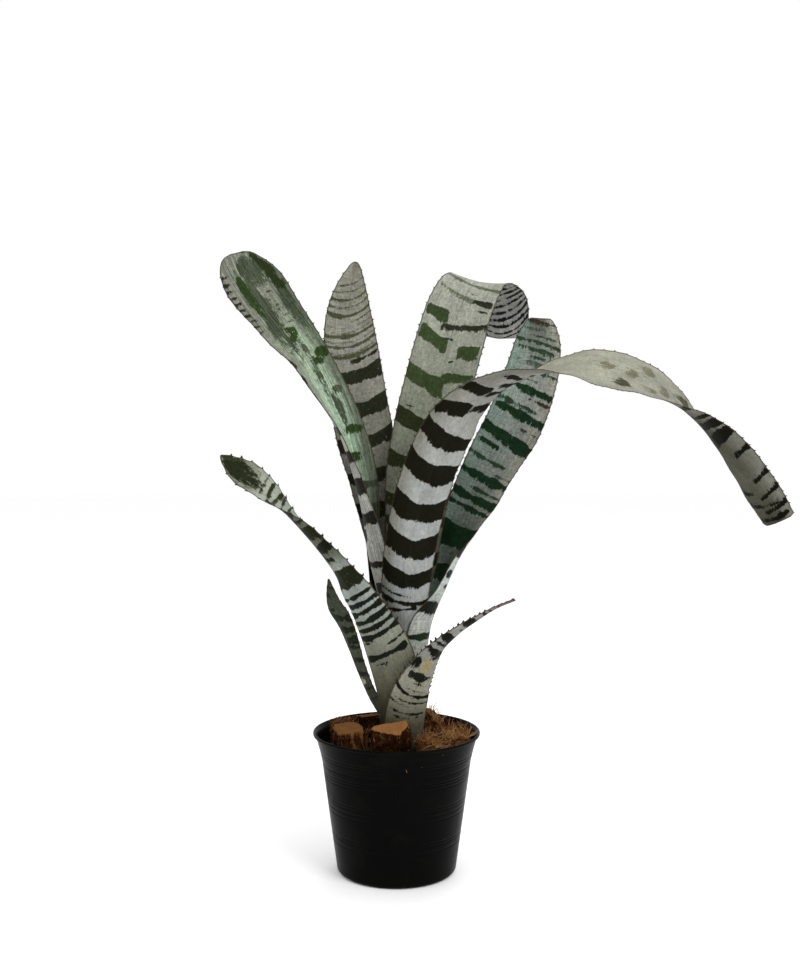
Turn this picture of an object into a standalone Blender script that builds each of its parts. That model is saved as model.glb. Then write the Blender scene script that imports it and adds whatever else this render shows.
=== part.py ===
"""Potted bromeliad: a banded, vase-shaped plant in a round nursery pot topped with husk chips.

Metres, +Z up. The origin is the middle of the pot's underside and the front of the plant faces -Y.
"""

from math import cos, radians, sin, tau

import bmesh
import bpy
import numpy as np
from mathutils import Matrix, Vector

MM = 0.001
GAP = 0.35 * MM                     # clearance kept between pieces that touch

# Pot: a thin black shell, drafted, with a flared collar and a small rolled lip.
POT_HEIGHT = 128 * MM
POT_RIM_RADIUS = 76 * MM
POT_COLLAR_RADIUS = 67.3 * MM       # where the flare of the collar begins
POT_COLLAR_HEIGHT = 98 * MM
POT_BASE_RADIUS = 54 * MM
POT_CORNER = 5 * MM                 # rounding between the wall and the underside
POT_WALL = 1.8 * MM
POT_LIP = 1.2 * MM                  # how far the lip stands out of the wall
POT_LIP_DEPTH = 3.0 * MM
POT_LIP_ROUND = 0.8 * MM
POT_FLARE = 1.3                     # how sharply the collar turns outwards
DRAIN_HOLES = 8
DRAIN_RADIUS = 4.5 * MM
DRAIN_CIRCLE = 37 * MM

# Potting mix: fills the pot to this height, under the husk chips.
MIX_HEIGHT = 105 * MM

# Stem: the short stump that every leaf sheath grows round, a little right of the pot's middle.
STEM_X = 4 * MM
STEM_TOP = 140 * MM
STEM_NECK_RADIUS = 3.2 * MM
STEM_NECK_HEIGHT = 113.5 * MM
STEM_SHOULDER_RADIUS = 22 * MM
STEM_SHOULDER_HEIGHT = 104 * MM
STEM_SHOULDER_EDGE = 4 * MM
ROOT_CROWN = [(16 * MM, 90 * MM), (9 * MM, 68 * MM)]     # its taper: radius and height
STEM_FOOT = 58 * MM
STEM_FOOT_RADIUS = 4 * MM

LEAF_THICKNESS = 1.4 * MM
RINGS_PER_SPAN = 2                  # cross-sections between two stations of a leaf
STRIPS_ACROSS = 8
TIP_STUMP = 0.06                    # the least width of a tip, as a share of the leaf's width

# Vase: the sheaths close round one centre line, upright at the soil and leaning right above it.
VASE_FOOT = 115                     # millimetres, like all the leaf tables
VASE_LEAN = 0.033


def clear_scene():
    for old in list(bpy.data.objects):
        bpy.data.objects.remove(old)


def make_collection(name):
    collection = bpy.data.collections.new(name)
    bpy.context.scene.collection.children.link(collection)
    return collection


def make_material(name, colour, roughness):
    material = bpy.data.materials.new(name)
    material.use_nodes = True
    shader = material.node_tree.nodes["Principled BSDF"]
    shader.inputs["Base Color"].default_value = (*colour, 1)
    shader.inputs["Roughness"].default_value = roughness
    shader.inputs["Metallic"].default_value = 0
    return material


def add_object(name, mesh, material, collection):
    thing = bpy.data.objects.new(name, mesh)
    mesh.materials.append(material)
    collection.objects.link(thing)
    return thing


def turned(name, profile, material, collection, steps):
    """A solid of revolution about Z. The profile runs down its outer side, top to bottom."""
    mesh = bpy.data.meshes.new(name)
    edges = [(i, i + 1) for i in range(len(profile) - 1)]
    mesh.from_pydata([(r, 0, z) for r, z in profile], edges, [])
    thing = add_object(name, mesh, material, collection)
    screw = thing.modifiers.new("turn", "SCREW")
    screw.steps = screw.render_steps = steps
    screw.use_merge_vertices = True
    screw.merge_threshold = 0.00001
    screw.use_smooth_shade = True
    return thing


# ---------------------------------------------------------------- pot and potting mix

def pot_outer_radius(z):
    """Radius of the outside of the pot's wall at height z."""
    if z > POT_COLLAR_HEIGHT:
        rise = (z - POT_COLLAR_HEIGHT) / (POT_HEIGHT - POT_COLLAR_HEIGHT)
        edge = POT_RIM_RADIUS - POT_LIP
        return POT_COLLAR_RADIUS + (edge - POT_COLLAR_RADIUS) * rise ** POT_FLARE
    return POT_BASE_RADIUS + (POT_COLLAR_RADIUS - POT_BASE_RADIUS) * z / POT_COLLAR_HEIGHT


def pot_inner_radius(z):
    return pot_outer_radius(z) - POT_WALL


def pot_profile():
    lip_bottom = POT_HEIGHT - POT_LIP_DEPTH
    outside = [(POT_RIM_RADIUS - POT_LIP_ROUND, POT_HEIGHT),
               (POT_RIM_RADIUS, POT_HEIGHT - POT_LIP_ROUND),
               (POT_RIM_RADIUS, lip_bottom + POT_LIP_ROUND / 2),
               (pot_outer_radius(lip_bottom), lip_bottom)]
    outside += [(pot_outer_radius(z * MM), z * MM) for z in (118, 108, 98, 60, 30)]
    corner_centre = pot_outer_radius(POT_CORNER) - POT_CORNER
    for turn in (0, 30, 60, 90):
        outside.append((corner_centre + POT_CORNER * cos(radians(turn)),
                        POT_CORNER * (1 - sin(radians(turn)))))
    outside.append((0, 0))
    floor = POT_WALL
    inside = [(0, floor), (pot_inner_radius(floor) - POT_CORNER, floor),
              (pot_inner_radius(2 * floor) - 0.2 * POT_CORNER, 2 * floor)]
    inside += [(pot_inner_radius(z * MM), z * MM) for z in (8, 60, 98, 108, 118, 127)]
    inside.append((POT_RIM_RADIUS - POT_LIP - POT_WALL + POT_LIP_ROUND, POT_HEIGHT))
    return outside + inside + outside[:1]


def build_pot(collection, cutters, material):
    pot = turned("pot", pot_profile(), material, collection, 48)
    for i in range(DRAIN_HOLES):
        angle = tau * (i + 0.5) / DRAIN_HOLES
        bpy.ops.mesh.primitive_cylinder_add(
            vertices=12, radius=DRAIN_RADIUS, depth=4 * POT_WALL,
            location=(DRAIN_CIRCLE * cos(angle), DRAIN_CIRCLE * sin(angle), 0))
        drill = bpy.context.object
        drill.name = f"drain_drill_{i + 1}"
        drill.hide_render = True
        drill.display_type = "WIRE"
        for home in list(drill.users_collection):
            home.objects.unlink(drill)
        cutters.objects.link(drill)
        cut = pot.modifiers.new(f"drain_hole_{i + 1}", "BOOLEAN")
        cut.operation = "DIFFERENCE"
        cut.solver = "EXACT"
        cut.object = drill
    return pot


def stem_outline():
    """Outer side of the stem from its tip down to its foot: neck, sloping shoulder, root crown."""
    return [(0, STEM_TOP), (STEM_NECK_RADIUS * 0.6, STEM_TOP),
            (STEM_NECK_RADIUS, STEM_TOP - 3 * MM), (STEM_NECK_RADIUS, STEM_NECK_HEIGHT),
            (STEM_SHOULDER_RADIUS, STEM_SHOULDER_HEIGHT),
            (STEM_SHOULDER_RADIUS, STEM_SHOULDER_HEIGHT - STEM_SHOULDER_EDGE),
            *ROOT_CROWN, (STEM_FOOT_RADIUS, STEM_FOOT), (0, STEM_FOOT)]


def build_stem(collection, material):
    stem = turned("stem", stem_outline(), material, collection, 24)
    stem.location.x = STEM_X
    return stem


def mix_profile():
    outside = [(0, MIX_HEIGHT)]
    outside += [(pot_inner_radius(z * MM) - GAP, z * MM) for z in (105, 98, 60, 8)]
    foot = POT_WALL + GAP
    corner_height = 2 * POT_WALL + GAP
    outside.append((pot_inner_radius(corner_height) - 0.2 * POT_CORNER - GAP, corner_height))
    outside.append((pot_inner_radius(foot) - POT_CORNER - GAP, foot))
    return outside + [(0, foot)]


def build_mix(collection, cutters, material):
    mix = turned("potting_mix", mix_profile(), material, collection, 36)
    socket = [(r + GAP if r > 0 else 0, z - (GAP if z == STEM_FOOT else 0)) for r, z in stem_outline()]
    hollow = turned("stem_hollow", socket, material, cutters, 24)
    hollow.location.x = STEM_X
    hollow.hide_render = True
    hollow.display_type = "WIRE"
    cut = mix.modifiers.new("stem_hollow", "BOOLEAN")
    cut.operation = "DIFFERENCE"
    cut.solver = "EXACT"
    cut.object = hollow
    return mix


# ---------------------------------------------------------------- leaves

LEVEL, SQUARE = 1, 0               # a section lies level, or square to the leaf's midrib


def vase_centre(z):
    return STEM_X / MM + VASE_LEAN * (z - VASE_FOOT), 0.0


def sheath_station(bearing, radius, z, width):
    """A leaf station on the vase: concentric with its centre line. Millimetres and degrees."""
    cx, cy = vase_centre(z)
    out = Vector((cos(radians(bearing)), sin(radians(bearing)), 0))
    return (cx + radius * out.x, cy + radius * out.y, z, width,
            np.degrees(width / radius), (-out.x, -out.y, 0), LEVEL)


def smooth_through(rows, steps):
    """Catmull-Rom curve through rows of numbers, with a given number of steps in each span."""
    rows = np.asarray(rows, float)
    padded = np.vstack([2 * rows[0] - rows[1], rows, 2 * rows[-1] - rows[-2]])
    curve = []
    for a, b, c, d in zip(padded, padded[1:], padded[2:], padded[3:]):
        for step in range(steps):
            t = step / steps
            curve.append(0.5 * (2 * b + (c - a) * t + (2 * a - 5 * b + 4 * c - d) * t ** 2
                                + (3 * b - a - 3 * c + d) * t ** 3))
    curve.append(rows[-1])
    return np.array(curve)


def leaf_grid(stations, tip_length, tip_power, rings, strips):
    """Points of a leaf's middle surface: one row for each cross-section, a circular arc."""
    rows = [(x, y, z, width, width / radians(wrap), level, *facing)
            for x, y, z, width, wrap, facing, level in stations]
    curve = smooth_through(rows, rings)
    spine, width, bend, level, facing = np.split(curve, (3, 4, 5, 6), axis=1)
    along = np.gradient(spine, axis=0)
    along /= np.linalg.norm(along, axis=1, keepdims=True)
    facing = facing - (1 - level) * (facing * along).sum(1, keepdims=True) * along
    facing /= np.linalg.norm(facing, axis=1, keepdims=True)
    across = np.cross(along, facing)
    across /= np.linalg.norm(across, axis=1, keepdims=True)
    steps = np.linalg.norm(np.diff(spine, axis=0), axis=1)
    to_tip = np.append(np.cumsum(steps[::-1])[::-1], 0.0)
    into_tip = np.clip(1 - to_tip / tip_length, 0, 1)
    narrowing = np.maximum((1 - into_tip ** tip_power) ** (1 / tip_power), TIP_STUMP)
    turn = np.linspace(-0.5, 0.5, strips + 1) * width * narrowing[:, None] / bend
    grid = (spine[:, None] + (bend * np.sin(turn))[..., None] * across[:, None]
            + (bend * (1 - np.cos(turn)))[..., None] * facing[:, None])
    return grid * MM


def surface_mesh(name, grid):
    rows, columns = grid.shape[:2]
    mesh = bpy.data.meshes.new(name)
    builder = bmesh.new()
    points = [[builder.verts.new(point) for point in row] for row in grid]
    for i in range(rows - 1):
        for j in range(columns - 1):
            builder.faces.new((points[i][j], points[i][j + 1], points[i + 1][j + 1], points[i + 1][j]))
    builder.to_mesh(mesh)
    builder.free()
    mesh.shade_smooth()
    return mesh


def build_leaf(name, leaf, collection, material):
    stations = [sheath_station(*row) for row in leaf["sheath"]]
    stations += [(*row, SQUARE) for row in leaf["blade"]]
    grid = leaf_grid(stations, *leaf["tip"], RINGS_PER_SPAN, STRIPS_ACROSS)
    thing = add_object(name, surface_mesh(name, grid), material, collection)
    shell = thing.modifiers.new("thickness", "SOLIDIFY")
    shell.thickness = LEAF_THICKNESS
    shell.offset = 0
    shell.use_even_offset = False
    return thing


# Each leaf: "sheath" rows are bearing (degrees, 0 = right, 270 = front), radius, height, width;
# "blade" rows are x, y, z, width, wrap (degrees) and the way that the upper face looks;
# "tip" is the length over which it closes and how blunt that end is. Millimetres.
LEAVES = {
    "back_leaf": {
        "sheath": [(80, 4.6, 114.5, 22), (80, 5.6, 140, 27), (80, 7.6, 170, 36), (80, 10, 200, 46),
                   (80, 13, 227, 56), (80, 19, 254, 56)],
        "blade": [(16, 28, 300, 55, 64, (-0.15, -1, 0.1)),
                  (21, 35, 352, 65, 54, (-0.1, -1, 0.12)),
                  (29, 39, 401, 66, 42, (-0.1, -1, 0.15)),
                  (41, 46, 450, 66, 34, (-0.1, -1, 0.2)),
                  (52, 54, 490, 66, 28, (-0.12, -1, 0.35)),
                  (62, 64, 521, 64, 24, (-0.05, -0.9, 0.7)),
                  (76, 80, 543, 62, 20, (0.25, -0.2, 1)),
                  (90, 98, 539, 62, 18, (0.4, 0.5, 1)),
                  (99, 112, 524, 62, 18, (0.3, 1, 0.5)),
                  (102, 118, 508, 58, 18, (0.15, 1, 0.2)),
                  (101, 120, 492, 52, 18, (0.1, 1, 0.1))],
        "tip": (30, 1.8),
    },
    "upper_left_leaf": {
        "sheath": [(185, 6.8, 113.5, 30), (185, 8, 140, 34), (185, 10.6, 170, 40),
                   (185, 13, 200, 48), (185, 16, 227, 56), (185, 25, 254, 58)],
        "blade": [(-25, -2, 290, 58, 112, (1, 0.2, 0.1)),
                  (-31, -1, 330, 59, 114, (1, -0.1, 0.1)),
                  (-40, 0, 372, 58, 108, (1, -0.35, 0.2)),
                  (-51, 2, 407, 54, 86, (0.9, -0.5, 0.25)),
                  (-65, 5, 437, 50, 66, (0.75, -0.65, 0.3)),
                  (-82, 8, 468, 50, 44, (0.6, -0.75, 0.35)),
                  (-105, 12, 498, 58, 30, (0.5, -0.8, 0.4)),
                  (-126, 15, 527, 66, 22, (0.5, -0.8, 0.4)),
                  (-139, 17, 547, 65, 20, (0.5, -0.8, 0.4)),
                  (-146, 18, 563, 62, 20, (0.5, -0.8, 0.4))],
        "tip": (36, 2.3),
    },
    "back_left_leaf": {
        "sheath": [(130, 9, 112.5, 36), (130, 10.4, 140, 38), (130, 13.2, 170, 44),
                   (130, 15.6, 200, 44), (130, 18.6, 227, 46), (132, 31.5, 254, 52)],
        "blade": [(-15, 33, 300, 55, 84, (0.6, -0.8, 0.05)),
                  (-20, 40, 345, 56, 64, (0.4, -0.9, 0.1)),
                  (-30, 47, 393, 57, 48, (0.2, -1, 0.12)),
                  (-38, 50, 441, 55, 36, (0.1, -1, 0.15)),
                  (-43, 52, 478, 52, 30, (0.1, -1, 0.2)),
                  (-45, 52, 507, 46, 26, (0.1, -1, 0.2)),
                  (-43, 51, 532, 42, 24, (0.1, -1, 0.2)),
                  (-38, 50, 559, 34, 22, (0.1, -1, 0.2))],
        "tip": (56, 1.6),
    },
    "front_arching_leaf": {
        "sheath": [(268, 11.2, 111.5, 38), (268, 12.8, 140, 40), (268, 15.4, 170, 44),
                   (268, 18, 200, 46), (268, 20.6, 227, 47), (268, 28.8, 254, 47)],
        "blade": [(11, -37, 290, 48, 62, (0, 1, 0.1)),
                  (20, -42, 335, 49, 56, (-0.1, 1, 0.15)),
                  (33, -46, 373, 51, 50, (-0.25, 1, 0.25)),
                  (50, -47, 405, 53, 46, (-0.4, 1, 0.5)),
                  (70, -47, 427, 53, 40, (-0.5, 0.7, 0.8)),
                  (98, -47, 443, 52, 36, (-0.4, 0.3, 1)),
                  (138, -47, 453, 52, 34, (-0.05, -0.25, 1)),
                  (176, -48, 453, 53, 32, (0.05, -0.65, 0.75)),
                  (212, -49, 443, 54, 40, (0.2, -0.6, 0.8)),
                  (242, -50, 424, 56, 58, (0.4, -0.3, 0.85)),
                  (266, -50, 403, 55, 74, (0.6, 0.05, 0.8)),
                  (286, -51, 381, 52, 78, (0.7, 0.3, 0.6)),
                  (303, -52, 359, 48, 70, (0.75, 0.45, 0.5)),
                  (317, -53, 339, 44, 62, (0.8, 0.55, 0.35)),
                  (328, -54, 322, 39, 60, (0.85, 0.55, 0.3))],
        "tip": (4, 4.0),
    },
    "right_leaf": {
        "sheath": [(0, 13.4, 110, 46), (0, 15, 140, 50), (0, 17.6, 170, 56), (0, 20.2, 200, 62),
                   (0, 23.8, 227, 66), (10, 34.5, 254, 62)],
        "blade": [(54, 14, 284, 63, 88, (-1, -0.4, 0.1)),
                  (65, 20, 313, 61, 70, (-0.8, -0.6, 0.1)),
                  (79, 26, 345, 59, 56, (-0.65, -0.75, 0.1)),
                  (94, 32, 376, 58, 46, (-0.5, -0.85, 0.12)),
                  (111, 37, 408, 58, 36, (-0.4, -0.9, 0.15)),
                  (122, 40, 438, 56, 30, (-0.35, -0.9, 0.15)),
                  (130, 43, 468, 50, 26, (-0.35, -0.9, 0.15)),
                  (135, 46, 506, 38, 22, (-0.35, -0.9, 0.15))],
        "tip": (10, 2.6),
    },
    "small_left_leaf": {
        "sheath": [(196, 15.6, 109, 36), (196, 19.5, 140, 32)],
        "blade": [(-25, -1, 160, 29, 80, (1, 0.3, 0.2)),
                  (-34, -1, 182, 27, 70, (0.9, 0.4, 0.25)),
                  (-41, -2, 204, 26, 56, (0.8, 0.5, 0.3)),
                  (-48, -4, 225, 26, 50, (0.7, 0.6, 0.3)),
                  (-57, -8, 245, 25, 44, (0.6, 0.7, 0.2)),
                  (-61, -10, 268, 18, 40, (0.6, 0.7, 0.1))],
        "tip": (34, 1.3),
    },
    "lower_left_leaf": {
        "sheath": [(262, 17.8, 108, 40), (262, 22.4, 140, 42), (260, 28.4, 170, 46)],
        "blade": [(-9, -31, 205, 47, 76, (0.3, 0.95, 0.15)),
                  (-20, -37, 229, 44, 72, (0.4, 0.9, 0.3)),
                  (-33, -43, 252, 42, 72, (0.45, 0.75, 0.5)),
                  (-48, -48, 275, 41, 76, (0.5, 0.5, 0.75)),
                  (-65, -53, 297, 41, 78, (0.45, 0.3, 0.9)),
                  (-83, -57, 318, 41, 72, (0.4, 0.1, 1)),
                  (-100, -61, 337, 40, 54, (0.35, -0.2, 0.95)),
                  (-117, -64, 354, 38, 34, (0.3, -0.5, 0.8)),
                  (-133, -66, 367, 36, 24, (0.3, -0.65, 0.7)),
                  (-149, -67, 381, 34, 22, (0.3, -0.7, 0.7))],
        "tip": (22, 1.9),
    },
    "lower_right_leaf": {
        "sheath": [(276, 20, 106.6, 42), (278, 24.8, 140, 40), (284, 30.8, 166, 37)],
        "blade": [(20, -36, 184, 31, 66, (-0.3, 0.95, 0.2)),
                  (29, -40, 200, 27, 66, (-0.4, 0.8, 0.5)),
                  (40, -44, 213, 26, 68, (-0.5, 0.6, 0.7)),
                  (53, -48, 225, 24, 68, (-0.5, 0.45, 0.8)),
                  (69, -52, 237, 20, 64, (-0.45, 0.35, 0.9)),
                  (85, -56, 248, 14, 50, (-0.4, 0.3, 0.9)),
                  (102, -59, 256, 7, 40, (-0.3, 0.3, 0.9))],
        "tip": (18, 1.2),
    },
}


# ---------------------------------------------------------------- husk chips

CHIP_KNOCK = 0.07                   # how far a corner is out of square, as a share of the side
CHIP_EDGE = 1.8 * MM

# Each chip: x and y of its middle, size along x, y and z, then its turn about Z, how far it leans
# forward and how far it leans left (degrees). Millimetres.
CHIPS = {
    "front_left_chip": ((-43, -25), (28, 24, 23), 14, 12, -4),
    "front_chip": ((-5, -43), (34, 21, 31), 12, 20, 8),
    "front_right_chip": ((33, -40), (26, 21, 22), -40, 8, 4),
    "right_front_chip": ((50, -16), (22, 27, 22), 8, 0, 6),
    "right_chip": ((53, 14), (20, 22, 20), -20, -4, 6),
    "back_right_chip": ((37, 40), (24, 20, 30), -42, -8, 0),
    "back_chip": ((4, 50), (30, 21, 22), 5, -6, 4),
    "back_left_chip": ((-28, 42), (26, 21, 25), 32, -6, 0),
    "left_chip": ((-49, 12), (21, 30, 27), 12, 4, -8),
    "small_right_chip": ((30, 6), (15, 20, 16), -8, 4, 10),
    "small_back_right_chip": ((16, 25), (19, 13, 20), 26, -10, 4),
    "small_back_chip": ((-7, 26), (17, 14, 15), -16, 8, -6),
    "small_left_chip": ((-27, 15), (12, 16, 18), -36, 6, 6),
    "front_crumb": ((14, -58), (13, 9, 12), 12, 10, 6),
    "left_crumb": ((-58, -8), (8, 10, 12), 10, -6, 8),
    "back_crumb": ((-10, 62), (14, 7, 11), 8, 4, -6),
}


def build_chip(name, middle, size, turn, forward, left, collection, material, seed):
    """A chunk of husk lying on the mix: a box knocked out of square, with its edges broken."""
    mesh = bpy.data.meshes.new(name)
    builder = bmesh.new()
    bmesh.ops.create_cube(builder, size=1)
    shuffle = np.random.default_rng(seed)
    for corner in builder.verts:
        knock = Vector(shuffle.uniform(-CHIP_KNOCK, CHIP_KNOCK, 3))
        corner.co = Vector((a * b for a, b in zip(corner.co + knock, size))) * MM
    for angle, axis in ((forward, "X"), (left, "Y"), (turn, "Z")):
        lean = Matrix.Rotation(radians(angle), 3, axis)
        bmesh.ops.rotate(builder, verts=builder.verts, matrix=lean)
    lowest = min(corner.co.z for corner in builder.verts)
    builder.to_mesh(mesh)
    builder.free()
    thing = add_object(name, mesh, material, collection)
    thing.location = (middle[0] * MM, middle[1] * MM, MIX_HEIGHT + GAP - lowest)
    edge = thing.modifiers.new("broken_edges", "BEVEL")
    edge.width = CHIP_EDGE
    edge.segments = 1
    return thing


clear_scene()
bromeliad = make_collection("potted_bromeliad")
cutting_tools = make_collection("cutters")
black_plastic = make_material("black_plastic", (0.012, 0.013, 0.014), 0.5)
dark_mix = make_material("dark_mix", (0.05, 0.03, 0.02), 0.95)
husk = make_material("husk", (0.35, 0.16, 0.07), 0.9)
leaf_green = make_material("leaf_green", (0.32, 0.36, 0.30), 0.6)
stem_brown = make_material("stem_brown", (0.30, 0.26, 0.16), 0.8)

build_pot(bromeliad, cutting_tools, black_plastic)
build_mix(bromeliad, cutting_tools, dark_mix)
build_stem(bromeliad, stem_brown)
for leaf_name, leaf_shape in LEAVES.items():
    build_leaf(leaf_name, leaf_shape, bromeliad, leaf_green)
for number, (chip_name, chip) in enumerate(CHIPS.items()):
    build_chip(chip_name, *chip, bromeliad, husk, number)
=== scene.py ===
"""Potted bromeliad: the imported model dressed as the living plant, in a plain studio."""

from math import cos, pi, radians, sin, tau

import bpy
import numpy as np
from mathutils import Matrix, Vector, noise


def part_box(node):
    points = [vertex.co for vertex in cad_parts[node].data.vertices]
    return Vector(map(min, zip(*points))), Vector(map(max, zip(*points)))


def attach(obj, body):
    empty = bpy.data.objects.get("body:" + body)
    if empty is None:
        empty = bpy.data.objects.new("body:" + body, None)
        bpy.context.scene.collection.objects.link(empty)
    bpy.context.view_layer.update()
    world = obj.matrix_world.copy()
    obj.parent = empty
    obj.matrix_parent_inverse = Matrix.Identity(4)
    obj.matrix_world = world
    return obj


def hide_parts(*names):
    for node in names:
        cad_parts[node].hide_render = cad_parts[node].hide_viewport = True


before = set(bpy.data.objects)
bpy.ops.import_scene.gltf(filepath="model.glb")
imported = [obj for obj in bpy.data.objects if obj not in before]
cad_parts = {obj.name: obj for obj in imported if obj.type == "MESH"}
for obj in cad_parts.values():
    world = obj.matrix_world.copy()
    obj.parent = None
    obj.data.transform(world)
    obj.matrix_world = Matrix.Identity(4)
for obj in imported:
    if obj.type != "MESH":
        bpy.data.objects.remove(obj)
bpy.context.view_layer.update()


# ---------------------------------------------------------------- pot
# A thin black nursery pot, moulded in one piece from recycled plastic. It has a flared collar
# under a small lip and shallow moulded grooves in groups round its wall. The plant stands loose
# in it, in its mix.

MM = 0.001
pot_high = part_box("pot")[1]
POT_HEIGHT = pot_high.z / MM
POT_RIM = pot_high.x / MM
POT_LIP = 1.2
POT_COLLAR = 98                      # height where the collar begins to flare, mm
POT_COLLAR_RADIUS = 67.3
POT_BASE_RADIUS = 54
POT_WALL = 1.8
POT_CORNER = 5
POT_SIDES = 144                      # steps that it is turned in
GROOVE_DEEP, GROOVE_WIDE = 0.42, 0.5
POT_LIP_ROUND = 0.95                 # radius of the lip's rounded top
POT_GROOVES = (111, 108.5, 101, 95, 92.5, 89.5, 72, 69.5, 65, 60.5, 40, 37.5, 32)


def pot_wall_radius(z):
    """Outer radius of the pot's wall at height z, in millimetres."""
    if z > POT_COLLAR:
        rise = (z - POT_COLLAR) / (POT_HEIGHT - POT_COLLAR)
        return POT_COLLAR_RADIUS + (POT_RIM - POT_LIP - POT_COLLAR_RADIUS) * rise ** 1.3
    return POT_BASE_RADIUS + (POT_COLLAR_RADIUS - POT_BASE_RADIUS) * z / POT_COLLAR


def pot_outline():
    """The turned section of the pot, from the middle of its underside out, up, over and in."""
    outline = [(0, 1.2), (30, 1.0), (44, 0.4), (46.5, 0)]
    centre = pot_wall_radius(POT_CORNER) - POT_CORNER
    for step in range(7):
        turn = radians(-90 + 15 * step)
        outline.append((centre + POT_CORNER * cos(turn), POT_CORNER + POT_CORNER * sin(turn)))
    for z in np.arange(POT_CORNER + 0.8, POT_HEIGHT - 3.2, 0.4):
        groove = max(GROOVE_DEEP * np.exp(-((z - g) / GROOVE_WIDE) ** 2) for g in POT_GROOVES)
        outline.append((pot_wall_radius(z) - groove, z))
    lip_low = POT_HEIGHT - 3
    outline += [(pot_wall_radius(lip_low) + 0.1, lip_low), (POT_RIM - 0.15, lip_low + 0.5),
                (POT_RIM, lip_low + 1.2), (POT_RIM, POT_HEIGHT - 0.9)]
    for step in range(1, 6):
        turn = radians(30 * step)
        outline.append((POT_RIM - POT_LIP_ROUND * (1 - cos(turn)),
                        POT_HEIGHT - POT_LIP_ROUND * (1 - sin(turn))))
    for z in np.arange(POT_HEIGHT - 2, POT_WALL + 3, -3):
        outline.append((pot_wall_radius(z) - POT_WALL, z))
    inner = pot_wall_radius(POT_WALL) - POT_CORNER
    return outline + [(inner, POT_WALL), (0, POT_WALL)]


def turned_mesh(name, outline, steps):
    """A mesh turned about Z from an outline in millimetres whose two ends lie on the axis."""
    mesh = bpy.data.meshes.new(name)
    ring = np.arange(steps) * tau / steps
    body = outline[1:-1]
    points = [(r * cos(a), r * sin(a), z) for r, z in body for a in ring]
    last = len(points)
    points += [(0, 0, outline[0][1]), (0, 0, outline[-1][1])]
    faces = [(last, (i + 1) % steps, i) for i in range(steps)]
    for row in range(len(body) - 1):
        for i in range(steps):
            near, far = row * steps, (row + 1) * steps
            faces.append((near + i, near + (i + 1) % steps, far + (i + 1) % steps, far + i))
    top = (len(body) - 1) * steps
    faces += [(last + 1, top + i, top + (i + 1) % steps) for i in range(steps)]
    mesh.from_pydata([tuple(c * MM for c in p) for p in points], [], faces)
    mesh.shade_smooth()
    mesh.update()
    return mesh


def mark_points(mesh, **facts):
    """Stores a number or three numbers at each point of a mesh, under each name."""
    for label, values in facts.items():
        values = np.asarray(values, np.float32)
        kind, key = ("FLOAT_VECTOR", "vector") if values.ndim == 2 else ("FLOAT", "value")
        mesh.attributes.new(label, kind, "POINT").data.foreach_set(key, values.ravel())


def add_piece(name, mesh, material, slot_name, *nodes):
    """Puts a finished mesh in the scene as a piece of the plant that stands for those nodes."""
    piece = bpy.data.objects.new(name, mesh)
    bpy.context.scene.collection.objects.link(piece)
    mesh.materials.append(material)
    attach(piece, "root")
    if nodes:
        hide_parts(*nodes)
    return piece


def new_material(name, roughness, gloss):
    """A Principled material and its shader. Gloss is the strength of its plain reflection."""
    material = bpy.data.materials.new(name)
    material.use_nodes = True
    shader = material.node_tree.nodes["Principled BSDF"]
    shader.inputs["Roughness"].default_value = roughness
    shader.inputs["Specular IOR Level"].default_value = gloss
    return material, shader


def add_node(tree, kind, inputs=None, **settings):
    """Adds a shader node. Each input is a value, or the output socket of another node."""
    node = tree.nodes.new(kind)
    for key, value in settings.items():
        setattr(node, key, value)
    for key, value in (inputs or {}).items():
        if isinstance(value, bpy.types.NodeSocket):
            tree.links.new(value, node.inputs[key])
        else:
            node.inputs[key].default_value = value
    return node


def make_group(name, inputs, outputs):
    """An empty shader node group with these sockets, and its input and output nodes."""
    group = bpy.data.node_groups.new(name, "ShaderNodeTree")
    for direction, sockets in (("INPUT", inputs), ("OUTPUT", outputs)):
        for label, kind in sockets.items():
            group.interface.new_socket(label, in_out=direction, socket_type="NodeSocket" + kind)
    return group, group.nodes.new("NodeGroupInput"), group.nodes.new("NodeGroupOutput")


def use_group(tree, group, inputs):
    """Adds a node group with these inputs."""
    return add_node(tree, "ShaderNodeGroup", inputs, node_tree=group)


def math_node(tree, operation, *inputs):
    """A Math node's result. Each input is a value or a socket."""
    return add_node(tree, "ShaderNodeMath", dict(enumerate(inputs)),
                    operation=operation).outputs[0]


def eased(tree, value, low, high, to_low=0.0, to_high=1.0, **settings):
    """A value brought from one range into another, and held within it."""
    return add_node(tree, "ShaderNodeMapRange", {
        "Value": value, "From Min": low, "From Max": high, "To Min": to_low,
        "To Max": to_high}, **settings).outputs["Result"]


def cloud(tree, place, scale, detail, roughness=0.5):
    """Noise at a place, about 0.5 on average."""
    return add_node(tree, "ShaderNodeTexNoise", {
        "Vector": place, "Scale": scale, "Detail": detail,
        "Roughness": roughness}).outputs["Fac"]


def stretched(tree, place, stretch):
    """A place stretched or squeezed along its three axes."""
    return add_node(tree, "ShaderNodeVectorMath", {0: place, 1: stretch},
                    operation="MULTIPLY").outputs[0]


def finish_skin(tree, shader, colour, height, strength, distance):
    """Wires a colour and a fine relief to the shader."""
    tree.links.new(colour, shader.inputs["Base Color"])
    bump = add_node(tree, "ShaderNodeBump", {
        "Height": height, "Strength": strength, "Distance": distance})
    tree.links.new(bump.outputs["Normal"], shader.inputs["Normal"])


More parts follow.
